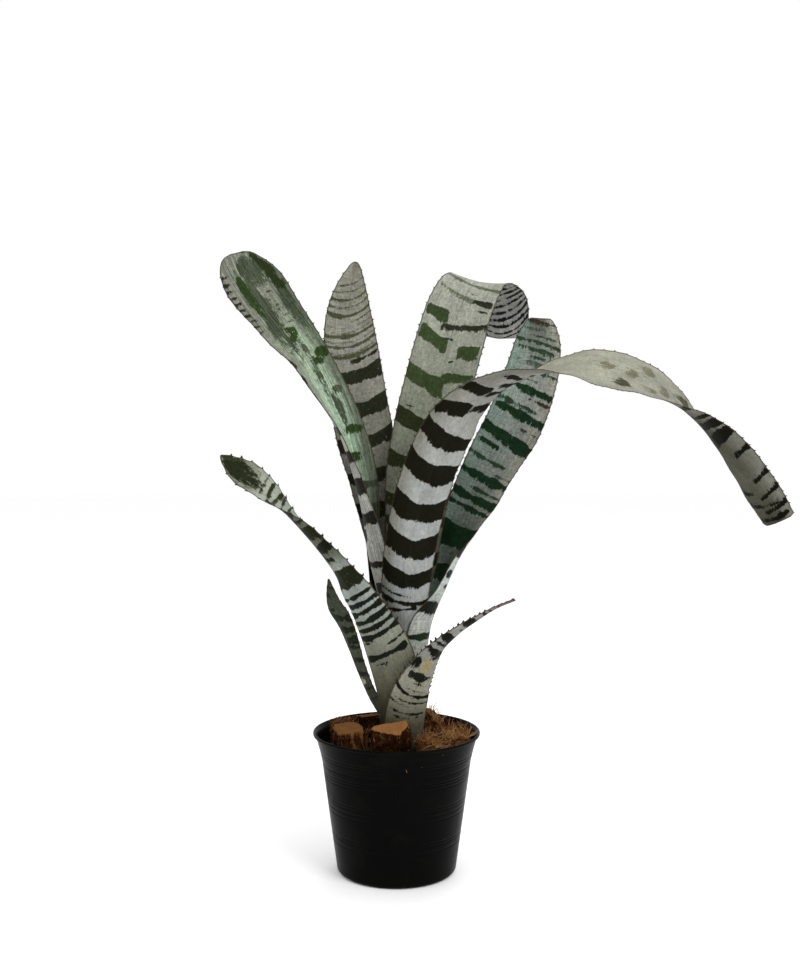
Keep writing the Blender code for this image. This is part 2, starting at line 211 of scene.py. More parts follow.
def mix_colours(tree, factor, a, b, blend="MIX"):
    """Mixes two colours, each a socket or a linear RGB value, and returns the result socket."""
    node = tree.nodes.new("ShaderNodeMix")
    node.data_type = "RGBA"
    node.blend_type = blend
    for socket, value in ((node.inputs[0], factor), (node.inputs[6], a), (node.inputs[7], b)):
        if isinstance(value, bpy.types.NodeSocket):
            tree.links.new(value, socket)
        else:
            socket.default_value = value if isinstance(value, (int, float)) else (*value, 1)
    return node.outputs[2]


def patchy_group():
    """Soft patches with fine grains in them, for dust, bloom and worn places on any surface."""
    group, start, end = make_group(
        "patches", {"Place": "Vector", "Patch Scale": "Float", "Low": "Float", "High": "Float"},
        {"Mask": "Float"})
    broad = cloud(group, start.outputs["Place"], start.outputs["Patch Scale"], 5, 0.6)
    mask = eased(group, broad, start.outputs["Low"], start.outputs["High"],
                 interpolation_type="SMOOTHSTEP")
    group.links.new(mask, end.inputs["Mask"])
    return group


patches = patchy_group()


def pot_plastic():
    """Satin black polypropylene, faintly dusty, with flow marks and scuffs round the wall."""
    material, shader = new_material("black_plastic", 0.42, 0.025)
    tree = material.node_tree
    place = add_node(tree, "ShaderNodeTexCoord").outputs["Object"]
    dust = use_group(tree, patches, {
        "Place": place, "Patch Scale": 34, "Low": 0.48, "High": 0.78}).outputs["Mask"]
    low = add_node(tree, "ShaderNodeSeparateXYZ", {"Vector": place}).outputs["Z"]
    amount = math_node(tree, "MAXIMUM", dust, eased(tree, low, 0.0, 0.03, 0.35, 0.0))
    faint = math_node(tree, "MULTIPLY", amount, 0.45)
    colour = mix_colours(tree, faint, (0.0012, 0.0013, 0.0012), (0.0052, 0.0048, 0.0036))
    tree.links.new(eased(tree, dust, 0.0, 1.0, 0.30, 0.50), shader.inputs["Roughness"])
    flow = cloud(tree, stretched(tree, place, (3, 3, 900)), 1, 3)
    both = math_node(tree, "ADD", flow, cloud(tree, place, 1400, 1))
    finish_skin(tree, shader, colour, both, 0.35, 0.0001)
    return material


add_piece("nursery_pot", turned_mesh("nursery_pot", pot_outline(), POT_SIDES), pot_plastic(),
          "black_plastic", "pot")


# ---------------------------------------------------------------- potting mix and stem
# Dark, damp bark and fibre compost fills the pot to 23 mm below its rim, and the short woody
# stem sits in it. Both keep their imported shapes. Only the top of the mix shows, between chips.


def crumbly(name, dark, light, scale):
    """Crumbs of bark and fibre: two browns in coarse cells, with deep relief between them."""
    material, shader = new_material(name, 0.92, 0.03)
    tree = material.node_tree
    place = add_node(tree, "ShaderNodeTexCoord").outputs["Object"]
    cells = add_node(tree, "ShaderNodeTexVoronoi", {"Vector": place, "Scale": scale})
    fine = cloud(tree, place, scale * 3, 6)
    tone = math_node(tree, "MULTIPLY", cells.outputs["Distance"], fine)
    colour = mix_colours(tree, eased(tree, tone, 0.08, 0.42), dark, light)
    finish_skin(tree, shader, colour, tone, 1, 0.002)
    return material


def dress(node_name, material):
    """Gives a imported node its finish. Its shape and place stay as they are."""
    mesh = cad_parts[node_name].data
    mesh.materials.clear()
    mesh.materials.append(material)


dress("potting_mix", crumbly("potting_mix", (0.005, 0.002, 0.001), (0.06, 0.022, 0.008), 260))
dress("stem", crumbly("stem_wood", (0.10, 0.08, 0.04), (0.32, 0.27, 0.16), 320))


# ---------------------------------------------------------------- leaves: how one is made
# Each leaf is one stiff, leathery strap that grows from a broad sheath and narrows to its tip.
# Its faces carry silver scales over green tissue, left off in cross-bands, and its margins are
# a thin brown line with small dark hooked teeth; the line is drawn wide, so that it also paints
# the shade along the edge. Sheaths wrap one another round the vase.

# The colours between each leaf's markings darken towards its base: painted shade deep in the vase
# of sheaths, over the leaf's own tones.
LEVEL, SQUARE = 1, 0                 # a section lies level, or square to the leaf's midrib
VASE_FOOT = 115                      # height at which the vase of sheaths starts to lean, mm
VASE_LEAN = 0.033                    # how far it leans right for each mm up
STEM_X = 4                           # where the stem stands, right of the pot's axis
ROW = 1.6                            # spacing of the leaf's cross-sections, mm
STRIPS = 36                          # strips across each skin of a leaf
HALF_THICK = 0.55                    # half of a leaf's thickness at its middle, mm
EDGE_THICK = 0.2                     # the same at its margin, mm
RIPPLE = 0.15                        # weight of the slow ripples along a blade, mm
CHANNEL = 0.35                       # depth of the channel over the midrib, mm
TOOTH_COLOUR = (0.030, 0.016, 0.010)
TOOTH_STAGES = ((-0.35, 0, 1.0), (0.25, 0.06, 0.72), (0.62, 0.24, 0.40), (0.88, 0.5, 0.2))


def sheath_station(bearing, radius, z, width):
    """A section on the vase: bearing in degrees (0 right, 270 front), then millimetres."""
    centre = STEM_X + VASE_LEAN * (z - VASE_FOOT)
    out = (cos(radians(bearing)), sin(radians(bearing)))
    return (centre + radius * out[0], radius * out[1], z, width,
            np.degrees(width / radius), (-out[0], -out[1], 0), LEVEL)


def smooth_through(rows, steps):
    """Catmull-Rom curve through rows of numbers, with a given number of steps in each span."""
    rows = np.asarray(rows, float)
    padded = np.vstack([2 * rows[0] - rows[1], rows, 2 * rows[-1] - rows[-2]])
    curve = []
    for a, b, c, d in zip(padded, padded[1:], padded[2:], padded[3:]):
        t = np.arange(steps)[:, None] / steps
        curve.append(0.5 * (2 * b + (c - a) * t + (2 * a - 5 * b + 4 * c - d) * t ** 2
                            + (3 * b - a - 3 * c + d) * t ** 3))
    return np.vstack([*curve, rows[-1:]])


def length_along(points):
    """How far along a line of points each one lies."""
    return np.append(0.0, np.cumsum(np.linalg.norm(np.diff(points, axis=0), axis=1)))


def band(at, thick, tilt=0, bow=0, start=-1.0, end=1.0, tone=0, ragged=1.0):
    """A cross-band: its place and thickness along the leaf (mm), how far it climbs to the right
    and bows at its middle (mm), the part of the width that it takes, and which dark it is."""
    return {"at": at, "thick": thick, "tilt": tilt, "bow": bow, "start": start, "end": end,
            "tone": tone, "ragged": ragged}


def blotch(at, across, length, width, tone=0, ragged=1.0):
    """A patch: its middle along (mm) and across (-1 to 1) the leaf, its length and width (mm)."""
    return {"at": at, "across": across, "length": length, "width": width, "tone": tone,
            "ragged": ragged}


def meet(a, b):
    """The lesser of two depths, with the corner between them rounded off."""
    return (a + b - np.sqrt((a - b) ** 2 + 2)) / 2


def marking_depth(marks, along, across, half_width):
    """How deep each point lies inside a marking (mm, negative outside), with the marking's tone
    and how ragged its edge is there."""
    depth = np.full(along.shape, -20.0)
    tone = np.zeros(along.shape)
    ragged = np.ones(along.shape)
    for mark in marks:
        if "thick" in mark:
            middle = mark["at"] + mark["tilt"] * across + mark["bow"] * (1 - across ** 2)
            uneven = min(0.12 * mark["thick"], 0.8) * (
                np.sin(3.3 * across + mark["at"]) + 0.7 * np.sin(8.1 * across + 2.3 * mark["at"]))
            inside = mark["thick"] / 2 + uneven - np.abs(along - middle)
            if mark["start"] > -1:
                inside = meet(inside, (across - mark["start"]) * half_width)
            if mark["end"] < 1:
                inside = meet(inside, (mark["end"] - across) * half_width)
            below = along < middle
        else:
            far = np.hypot((along - mark["at"]) * 2 / mark["length"],
                           (across - mark["across"]) * half_width * 2 / mark["width"])
            inside = (1 - far) * min(mark["length"], mark["width"]) / 2
            below = along < mark["at"]
        better = inside > depth
        depth = np.where(better, inside, depth)
        tone = np.where(better, mark["tone"], tone)
        ragged = np.where(better, mark["ragged"] * np.where(below, 1.0, 0.45), ragged)
    return depth, tone, ragged


def colour_along(tones, along):
    """Colour between the markings at each place along the leaf, between the places given; towards
    the base it holds painted shade.
    """
    places = [place for place, _ in tones]
    return np.stack([np.interp(along, places, [colour[i] for _, colour in tones])
                     for i in range(3)], -1)


def tooth_points(root, out, onwards, normal, height, length):
    """A small hooked tooth: a flattened thorn that leans towards the leaf's tip."""
    rings = []
    for rise, lean, size in TOOTH_STAGES:
        middle = root + out * height * rise + onwards * length * lean
        for a, b in ((1, 0), (0, 1), (-1, 0), (0, -1)):
            rings.append(middle + onwards * a * size * length * 0.42 + normal * b * size * 0.34)
    rings.append(root + out * height + onwards * length * 0.82)
    return rings


TOOTH_FACES = [(3, 2, 1, 0)]
for ring in range(3):
    for side in range(4):
        low, high = 4 * ring, 4 * ring + 4
        TOOTH_FACES.append((low + side, low + (side + 1) % 4, high + (side + 1) % 4, high + side))
TOOTH_FACES += [(12 + side, 12 + (side + 1) % 4, 16) for side in range(4)]
TOOTH_COUNT = 17


def leaf_path(stations):
    """The leaf's cross-sections, one every ROW: place along it, middle, width, bend radius, the
    way its upper face looks and the way to its right."""
    rows = [(x, y, z, width, width / radians(wrap), level, *facing)
            for x, y, z, width, wrap, facing, level in stations]
    curve = smooth_through(rows, 24)
    length = length_along(curve[:, :3])
    along = np.linspace(0, length[-1], int(length[-1] / ROW) + 1)
    even = np.stack([np.interp(along, length, column) for column in curve.T], 1)
    spine, width, bend, level, facing = np.split(even, (3, 4, 5, 6), axis=1)
    forward = np.gradient(spine, axis=0)
    forward /= np.linalg.norm(forward, axis=1, keepdims=True)
    facing = facing - (1 - level) * (facing * forward).sum(1, keepdims=True) * forward
    facing /= np.linalg.norm(facing, axis=1, keepdims=True)
    sideways = np.cross(forward, facing)
    sideways /= np.linalg.norm(sideways, axis=1, keepdims=True)
    return along, spine, width[:, 0], bend, facing, sideways


def sheet_faces(count):
    """Faces of a closed sheet: its upper skin, its lower skin, both margins and both ends."""
    across, faces = STRIPS + 1, []
    under = count * across
    for i in range(count - 1):
        for j in range(STRIPS):
            a = i * across + j
            faces.append((a, a + 1, a + across + 1, a + across))
            faces.append((under + a + across, under + a + across + 1, under + a + 1, under + a))
        left, right = i * across, i * across + STRIPS
        faces.append((left, left + across, under + left + across, under + left))
        faces.append((under + right, under + right + across, right + across, right))
    for low in range(STRIPS):
        high = (count - 1) * across + low
        faces.append((low + 1, low, under + low, under + low + 1))
        faces.append((high, high + 1, under + high + 1, under + high))
    return faces


def skin_facts(skin, along, share, reach):
    """What the finish needs for one skin: the colours between its markings, with their painted
    shade towards the leaf's base, marking colours, depth in a marking and how ragged its edge is."""
    depth, tone, ragged = marking_depth(skin["marks"], along, share, reach)
    # Painted shade: the colours along the leaf darken towards its base, inside the vase.
    ground_and_shade = colour_along(skin["ground_and_shade"], along)
    for side, way in (("left", -1), ("right", 1)):
        if side in skin:
            lean = (np.clip((way * share - 0.3) / 0.5, 0, 1) * 0.9)[..., None]
            ground_and_shade = ground_and_shade * (1 - lean) + np.array(skin[side]) * lean
    marking = np.array(skin["darks"], float)[tone.astype(int)]
    return {"ground_and_shade": ground_and_shade, "marking": marking, "depth": depth, "ragged": ragged}


def leaf_piece(node_name, sheath, blade, tip, teeth, upper, lower, seed, finish):
    """One leaf, from sheath to tip, with its teeth. Sheath rows have a bearing, a radius, a
    height and a width. Blade rows have x, y, z, a width, how far it wraps (degrees) and the way
    its upper face looks. A tip has its length, how square it is, and how much of the width is
    left at its end. Teeth have their pitch, height and first place. A skin has the colours
    between its markings along the leaf, darkened towards the base as painted shade inside the
    vase, perhaps others near its left or right margin, the darks of its markings, and its marks."""
    chance = np.random.default_rng(seed)
    along, spine, width, bend, facing, sideways = leaf_path(
        [sheath_station(*row) for row in sheath] + [(*row, SQUARE) for row in blade])
    tip_length, tip_power, stub = tip
    into_tip = np.clip(1 - (along[-1] - along) / tip_length, 0, 1)
    half = width / 2 * (stub + (1 - stub) * (1 - into_tip ** tip_power) ** (1 / tip_power))
    free = np.clip((along - 60) / 60, 0, 1)[:, None]         # 0 in the sheath, 1 in the blade

    # Teeth stand at uneven steps along both margins, and the margin dips a little between them.
    pitch, height, first = teeth
    stops, dip = [], []
    for _ in range(2):
        places = [first + chance.uniform(0, pitch)]
        while places[-1] < along[-1] - 0.5 * min(tip_length, 12):
            places.append(places[-1] + pitch * chance.uniform(0.72, 1.3))
        stops.append(places[:-1])
        count = np.interp(along, places, np.arange(len(places)))
        dip.append(np.abs(np.sin(pi * count)) * min(0.35 * height, 0.9))
    share = np.linspace(-1, 1, STRIPS + 1)[None]
    reach = np.where(share < 0, (half - dip[0])[:, None], (half - dip[1])[:, None])
    reach = np.maximum(reach, 0.05 * half[:, None] + 0.1)
    across = share * reach
    turn = across / bend
    normal = (np.cos(turn)[..., None] * facing[:, None]
              - np.sin(turn)[..., None] * sideways[:, None])
    middle = (spine[:, None] + (bend * np.sin(turn))[..., None] * sideways[:, None]
              + (bend * (1 - np.cos(turn)))[..., None] * facing[:, None])

    # Growth is never quite even: slow ripples along the blade, stronger towards the margins, and
    # a shallow channel over the midrib.
    swell = np.zeros(across.shape)
    for _ in range(7):
        wave, phase, skew = chance.uniform(28, 90), chance.uniform(0, tau), chance.uniform(-1, 1)
        swell += np.sin(tau * along[:, None] / wave + phase + skew * share * pi)
    swell *= RIPPLE * (0.25 + share ** 2)
    swell -= CHANNEL * np.exp(-(across / 2.6) ** 2)
    middle = middle + (swell * free)[..., None] * normal
    thick = (EDGE_THICK + (HALF_THICK - EDGE_THICK) * (1 - np.abs(share) ** 4))[..., None]
    points = [(middle + thick * normal).reshape(-1, 3), (middle - thick * normal).reshape(-1, 3)]
    faces = sheet_faces(len(along))

    along_all = np.broadcast_to(along[:, None], across.shape)
    share_all = np.broadcast_to(share, across.shape)
    from_edge = np.minimum((1 - np.abs(share_all)) * reach, along[-1] - along_all)
    place = np.stack([across, along_all, from_edge], -1)
    facts = [skin_facts(skin, along_all, share_all, reach) for skin in (upper, lower)]
    facts = [{"place": place, **fact} for fact in facts]

    for edge, sign in ((0, -1), (1, 1)):
        column = 0 if edge == 0 else STRIPS
        for stop in stops[edge]:
            i = min(int(round(stop / ROW)), len(along) - 2)
            if half[i] < 1.5:
                continue
            tall = height * chance.uniform(0.7, 1.25) * np.clip(half[i] / 9, 0.35, 1)
            onwards = middle[i + 1, column] - middle[i, column]
            onwards /= np.linalg.norm(onwards)
            out = sign * (sideways[i] * cos(turn[i, column]) + facing[i] * sin(turn[i, column]))
            base = sum(len(p) for p in points)
            points.append(np.array(tooth_points(middle[i, column], out, onwards,
                                                normal[i, column], tall, tall * 1.15)))
            faces += [tuple(base + v for v in face[::sign]) for face in TOOTH_FACES]
            blank = np.ones((1, TOOTH_COUNT))
            facts.append({
                "place": np.broadcast_to([sign * half[i], along[i], 5.0], (1, TOOTH_COUNT, 3)),
                "ground_and_shade": np.broadcast_to(TOOTH_COLOUR, (1, TOOTH_COUNT, 3)),
                "marking": np.broadcast_to(TOOTH_COLOUR, (1, TOOTH_COUNT, 3)),
                "depth": 6 * blank, "ragged": 0 * blank})

    mesh = bpy.data.meshes.new(node_name + "_blade")
    mesh.from_pydata((np.vstack(points) * MM).tolist(), [], faces)
    mark_points(mesh, **{label: np.concatenate([
        fact[label].reshape(-1, *fact[label].shape[2:]) for fact in facts]) for label in facts[0]})
    mesh.shade_smooth()
    mesh.update()
    return add_piece(node_name + "_blade", mesh, finish, "leaf", node_name)


def veined(tree, start, stretch, detail):
    """Noise drawn out along a leaf's veins, or across them."""
    return cloud(tree, stretched(tree, start.outputs["Place"], stretch), 1, detail, 0.6)


def ragged_edge_group():
    """A marking's mask from the depth inside it: its edge runs out along the veins in fine
    fingers and wanders slowly across the leaf."""
    group, start, end = make_group(
        "ragged_edge", {"Place": "Vector", "Depth": "Float", "Raggedness": "Float"},
        {"Mask": "Float"})
    raggedness = start.outputs["Raggedness"]

    def wander(stretch, reach):
        centred = math_node(group, "SUBTRACT", veined(group, start, stretch, 3), 0.5)
        return math_node(group, "MULTIPLY", centred, reach)

    moved = start.outputs["Depth"]
    calm = math_node(group, "MULTIPLY_ADD", wander((0.05, 0.06, 3), 5.0), raggedness, 1.0)
    for stretch, reach in (((0.15, 0.09, 0), 6.5), ((0.6, 0.14, 0), 5.0), ((1.4, 0.6, 0), 3.0)):
        reached = math_node(group, "MULTIPLY", wander(stretch, reach), calm)
        moved = math_node(group, "MULTIPLY_ADD", reached, raggedness, moved)
    mask = eased(group, moved, -0.45, 0.45, interpolation_type="SMOOTHSTEP")
    group.links.new(mask, end.inputs["Mask"])
    return group


def scurf_group():
    """Silver scales and veins of a leaf's skin: how bright they make it, and their relief."""
    group, start, end = make_group(
        "scurf", {"Place": "Vector", "Grain": "Float", "Streaks": "Float", "Rings": "Float"},
        {"Brightness": "Float", "Relief": "Float", "Fleck": "Float", "Dash": "Float"})

    def around_one(value, amount):
        centred = math_node(group, "SUBTRACT", value, 0.5)
        return math_node(group, "MULTIPLY_ADD", centred, amount, 1.0)

    grain = start.outputs["Grain"]
    stipple = veined(group, start, (1.5, 1.1, 0), 4)
    bright = around_one(veined(group, start, (0.8, 0.02, 0), 3), start.outputs["Streaks"])
    for value, amount in ((stipple, grain),
                          (veined(group, start, (0.4, 0.25, 0), 4),
                           math_node(group, "MULTIPLY", grain, 0.7)),
                          (veined(group, start, (0.06, 0.8, 0), 3), start.outputs["Rings"]),
                          (veined(group, start, (0.07, 0.035, 0), 3), 0.9)):
        bright = math_node(group, "MULTIPLY", bright, around_one(value, amount))
    veins = veined(group, start, (1.3, 0.006, 0), 1)
    for label, value in (("Brightness", bright),
                         ("Relief", math_node(group, "MULTIPLY_ADD", stipple, 0.35, veins)),
                         ("Fleck", veined(group, start, (0.42, 0.3, 0), 2)),
                         ("Dash", veined(group, start, (0.22, 1.3, 0), 2))):
        group.links.new(value, end.inputs[label])
    return group


ragged_edge = ragged_edge_group()
scurf = scurf_group()


def leaf_finish(name, grain=2.1, streaks=0.5, rings=0.3, flecks=0.72, veil=0.10, breaks=0.69,
                crease_shade=0.3):
    """A leaf's skin. Grain, streaks and rings are the strength of its speckle and of the silver
    scales along and across it, flecks how rare dark flecks are, veil the scales left on the
    markings, breaks how rare their gaps are, and the last how dark the painted shade in the fold
    over the midrib is."""
    material, shader = new_material(name, 0.6, 0.02)
    tree = material.node_tree

    def fact(label):
        return add_node(tree, "ShaderNodeAttribute", attribute_name=label)

    place = fact("place").outputs["Vector"]
    skin = use_group(tree, scurf, {
        "Place": place, "Grain": grain, "Streaks": streaks, "Rings": rings}).outputs
    mask = use_group(tree, ragged_edge, {
        "Place": place, "Depth": fact("depth").outputs["Fac"],
        "Raggedness": fact("ragged").outputs["Fac"]}).outputs["Mask"]
    gap = eased(tree, skin["Fleck"], breaks, breaks + 0.04, 1 - veil, 0.25)
    mask = math_node(tree, "MULTIPLY", mask, gap)
    # The colours between the markings, with their painted shade towards each leaf's base.
    ground_and_shade = fact("ground_and_shade").outputs["Color"]
    worst = math_node(tree, "MAXIMUM", math_node(tree, "SUBTRACT", 1.0, skin["Fleck"]),
                      skin["Dash"])
    fleck = eased(tree, worst, flecks, flecks + 0.03, to_high=0.75)
    ground_and_shade = mix_colours(tree, fleck, ground_and_shade, (0.030, 0.030, 0.018))
    colour = mix_colours(tree, mask, ground_and_shade, fact("marking").outputs["Color"])
    colour = mix_colours(tree, 1.0, colour, skin["Brightness"], "MULTIPLY")
    spot = add_node(tree, "ShaderNodeSeparateXYZ", {"Vector": place}).outputs
    # The margin: a thin brown line, drawn wide enough to paint the shade along the edge as well.
    uneven = math_node(tree, "MULTIPLY_ADD", skin["Brightness"], -1.2, spot["Z"])
    line = eased(tree, uneven, 0.2, -0.8, to_high=0.85)
    colour = mix_colours(tree, line, colour, (0.040, 0.026, 0.015))
    # Painted shade: a dark line in the fold over the midrib, where the leaf's channel is shaded.
    off_rib = math_node(tree, "MULTIPLY_ADD", skin["Fleck"], 2.2,
                        math_node(tree, "ABSOLUTE", spot["X"]))
    crease_shadow = eased(tree, off_rib, 1.9, 0.9, to_high=crease_shade)
    colour = mix_colours(tree, crease_shadow, colour, (0.045, 0.035, 0.022))
    tree.links.new(eased(tree, mask, 0.0, 1.0, 0.68, 0.5), shader.inputs["Roughness"])
    finish_skin(tree, shader, colour, skin["Relief"], 0.5, 0.0004)
    return material


def grown_bands(first, last, pitch, thick, seed, bow=0, tone=0):
    """Cross-bands as they grow where nothing singles one out: uneven in step, weight and reach."""
    chance, bands, at = np.random.default_rng(seed), [], first
    while at < last:
        weight = thick * chance.uniform(0.45, 1.25)
        start, end = -1.0, 1.0
        if chance.random() < 0.3:
            start = chance.uniform(-0.7, 0.1)
        elif chance.random() < 0.3:
            end = chance.uniform(-0.1, 0.7)
        bands.append(band(at, weight, chance.uniform(-3, 3), bow + chance.uniform(-2, 2),
                          start, end, tone, chance.uniform(0.6, 1.3)))
        at += weight / 2 + pitch * chance.uniform(0.55, 1.3)
    return bands


# ---------------------------------------------------------------- back leaf
# The leaf in the middle of the vase: broad and upright, olive grey with loose green bands. Its
# end has folded over backwards and shows the darker, finely striped underside.

leaf_piece(
    "back_leaf",
    sheath=((80, 4.6, 114.5, 22), (80, 5.6, 140, 27), (80, 7.6, 170, 36), (80, 10, 200, 46),
            (80, 13, 227, 56), (80, 19, 254, 56)),
    blade=((16, 28, 300, 55, 64, (-0.15, -1, 0.1)), (21, 35, 352, 65, 54, (-0.1, -1, 0.12)),
           (29, 39, 401, 66, 42, (-0.1, -1, 0.15)), (41, 46, 450, 66, 34, (-0.1, -1, 0.2)),
           (52, 54, 490, 66, 28, (-0.12, -1, 0.35)), (62, 64, 521, 64, 24, (-0.05, -0.9, 0.7)),
           (76, 80, 543, 62, 20, (0.25, -0.2, 1)), (90, 98, 539, 62, 18, (0.4, 0.5, 1)),
           (99, 112, 524, 62, 18, (0.3, 1, 0.5)), (102, 118, 508, 58, 18, (0.15, 1, 0.2)),
           (101, 120, 492, 52, 18, (0.1, 1, 0.1))),
    tip=(18, 2.8, 0.1), teeth=(9, 1.3, 150), seed=11,
    upper={
        # Both skins darken towards the base: painted shade inside the vase of sheaths.
        "ground_and_shade": [(0, (0.093, 0.104, 0.071)), (250, (0.113, 0.121, 0.088)),
                   (330, (0.168, 0.181, 0.138)), (430, (0.258, 0.267, 0.223)),
                   (529, (0.315, 0.324, 0.275))],
        "darks": [(0.0256, 0.04, 0.0128), (0.013, 0.017, 0.005), (0.088, 0.1, 0.064),
                  (0.015, 0.015, 0.009)],
        "marks": [
            band(424, 8, -2, 0, 0.25, 0.95, 3, 0.7), band(428, 5, -6, -4, -0.9, 0.35, 2, 1.8),
            band(413, 2.4, 0, 0, 0.45, 0.9, 3, 0.8), band(398, 12, -8, 0, -0.95, -0.25, 0, 0.8),
            band(393, 7, 4, -1, -0.4, 0.98, 3, 1.6), band(370, 15, -14, 0, -0.95, -0.05),
            band(431, 1.8, 0, 0, 0.1, 0.4, 3, 0.9), band(367, 15, 5, 0, 0.28, 0.9, 0, 1.3),
            band(380, 2.4, 2, 0, -0.2, 0.1, 3, 0.8), band(357, 3, 8, 0, 0.05, 0.28, 3, 0.8),
            band(334, 17, -8, -2, end=0.15), band(341, 9, 6, 0, 0, 0.95, 0, 1.3),
            band(309, 1.8, 0, 0, -0.85, -0.5, 3, 0.5), band(295, 16, -6, -3, -1, 0.3, 1, 0.9),
            band(299, 8, 4, 0, 0.2, 1, 3, 1.2), band(258, 14, -3, -2, -1, 1, 1, 0.9),
            band(226, 12, 2, -3, tone=1), *grown_bands(120, 210, 22, 11, 3, -3, 1),
            *grown_bands(445, 525, 12, 3, 4, -3, 2)],
    },
    lower={
        "ground_and_shade": [(0, (0.440, 0.462, 0.418)), (200, (0.528, 0.539, 0.517)),
                   (420, (0.396, 0.396, 0.385)), (455, (0.220, 0.220, 0.204)),
                   (529, (0.231, 0.231, 0.215))],
        "darks": [(0.0099, 0.0099, 0.0072), (0.0036, 0.0036, 0.0032)],
        "marks": [
            *grown_bands(70, 440, 17, 11, 5, -5),
            *[band(456 + 5.2 * i, 2.4, 1 - 0.2 * i, 1.6 * i, tone=1, ragged=0.8)
              for i in range(12)]],
    },
    finish=leaf_finish("olive_leaf", streaks=0.5, rings=0.5, flecks=0.70, veil=0.02, crease_shade=0.4))


# ---------------------------------------------------------------- upper left leaf
# A long leaf that leans left from the vase, a deep trough below and a broad, blunt paddle at
# its end. It is mint green under heavy silver streaks, with a few solid green patches.

leaf_piece(
    "upper_left_leaf",
    sheath=((185, 6.8, 113.5, 30), (185, 8, 140, 34), (185, 10.6, 170, 40), (185, 13, 200, 48),
            (185, 16, 227, 56), (185, 25, 254, 58)),
    blade=((-25, -2, 290, 58, 112, (1, 0.2, 0.1)), (-31, -1, 330, 59, 114, (1, -0.1, 0.1)),
           (-40, 0, 372, 58, 108, (1, -0.35, 0.2)), (-51, 2, 407, 54, 86, (0.9, -0.5, 0.25)),
           (-65, 5, 437, 50, 66, (0.75, -0.65, 0.3)), (-82, 8, 468, 50, 44, (0.6, -0.75, 0.35)),
           (-105, 12, 498, 58, 30, (0.5, -0.8, 0.4)), (-126, 15, 527, 66, 22, (0.5, -0.8, 0.4)),
           (-139, 17, 547, 65, 20, (0.5, -0.8, 0.4)), (-146, 18, 563, 62, 20, (0.5, -0.8, 0.4))),
    tip=(40, 2.0, 0.22), teeth=(10, 1.3, 170), seed=12,
    upper={
        # Both skins darken towards the base: painted shade inside the vase of sheaths.
        "ground_and_shade": [(0, (0.113, 0.142, 0.095)), (230, (0.200, 0.266, 0.186)),
                   (300, (0.285, 0.380, 0.278)), (360, (0.254, 0.322, 0.229)),
                   (420, (0.156, 0.174, 0.128)), (483, (0.174, 0.185, 0.144))],
        "left": (0.15, 0.155, 0.125),
        "right": (0.075, 0.088, 0.062),
        "darks": [(0.017, 0.034, 0.0068), (0.0153, 0.0238, 0.0068), (0.044, 0.056, 0.0336),
                  (0.0136, 0.0127, 0.0085)],
        "marks": [
            blotch(440, -0.36, 52, 11, 0, 1.5), blotch(424, -0.12, 62, 13, 2, 2.6),
            blotch(462, 0.2, 34, 26, 2, 2.8), blotch(452, 0.72, 62, 12, 1, 1.9),
            blotch(420, 0.7, 54, 12, 2, 2.6), blotch(396, -0.3, 50, 15, 2, 2.8),
            band(389, 9, 12, 0, -0.3, 0.3, 0, 1.6), band(397, 7, -8, 0, -0.05, 0.35, 0, 1.3),
            blotch(366, 0.7, 11, 14, 0, 1.1), blotch(360, 0.42, 8, 12, 0, 1.4),
            blotch(372, 0.18, 24, 5, 2, 2.2), blotch(345, 0.1, 40, 6, 2, 2.4),
            blotch(330, 0.55, 8, 12, 2, 1.4), blotch(312, 0.3, 34, 9, 2, 2.2),
            blotch(292, 0.5, 9, 22, 0, 1.6), blotch(268, 0.3, 9, 16, 0, 1.6), band(240, 8, tone=2),
            *[band(404 + 6.4 * i + i % 3, 2 + i % 2, 1, 0, 0.18 - 0.02 * i + 0.07 * (i % 2),
                   0.44 - 0.03 * i + 0.06 * (i % 3), 1, 1.5) for i in range(8)],
            *[blotch(232 + 19 * i, -0.97, 13, 7, 3, 1.8) for i in range(8)],
            *[band(405 + 6.5 * i, 2.4, -1, 0, -1.0, -0.72, 3, 1.0) for i in range(10)],
            *grown_bands(90, 230, 24, 10, 6, 0, 2)],
    },
    lower={
        "ground_and_shade": [(0, (0.256, 0.264, 0.224)), (250, (0.302, 0.302, 0.276)),
                   (340, (0.195, 0.186, 0.168)), (483, (0.162, 0.153, 0.140))],
        "darks": [(0.0065, 0.0045, 0.003), (0.006, 0.005, 0.0035)],
        "marks": [
            *grown_bands(60, 200, 22, 11, 7, -3), band(214, 12, 2, -3), band(243, 14, 2, -2),
            band(271, 12, 3, -3), band(292, 10), band(313, 7, 2),
            *grown_bands(335, 480, 12, 6, 8, -3, 1)],
    },
    finish=leaf_finish("mint_leaf", streaks=2.8, rings=0.3, flecks=0.71, veil=0.02, crease_shade=0.5))


# ---------------------------------------------------------------- back left leaf
# A straight, pointed leaf that stands behind the last one. Fine olive rings cross the pale upper
# half of its face, and broad dark bands the lower half. Its sheath wraps the vase at the back.

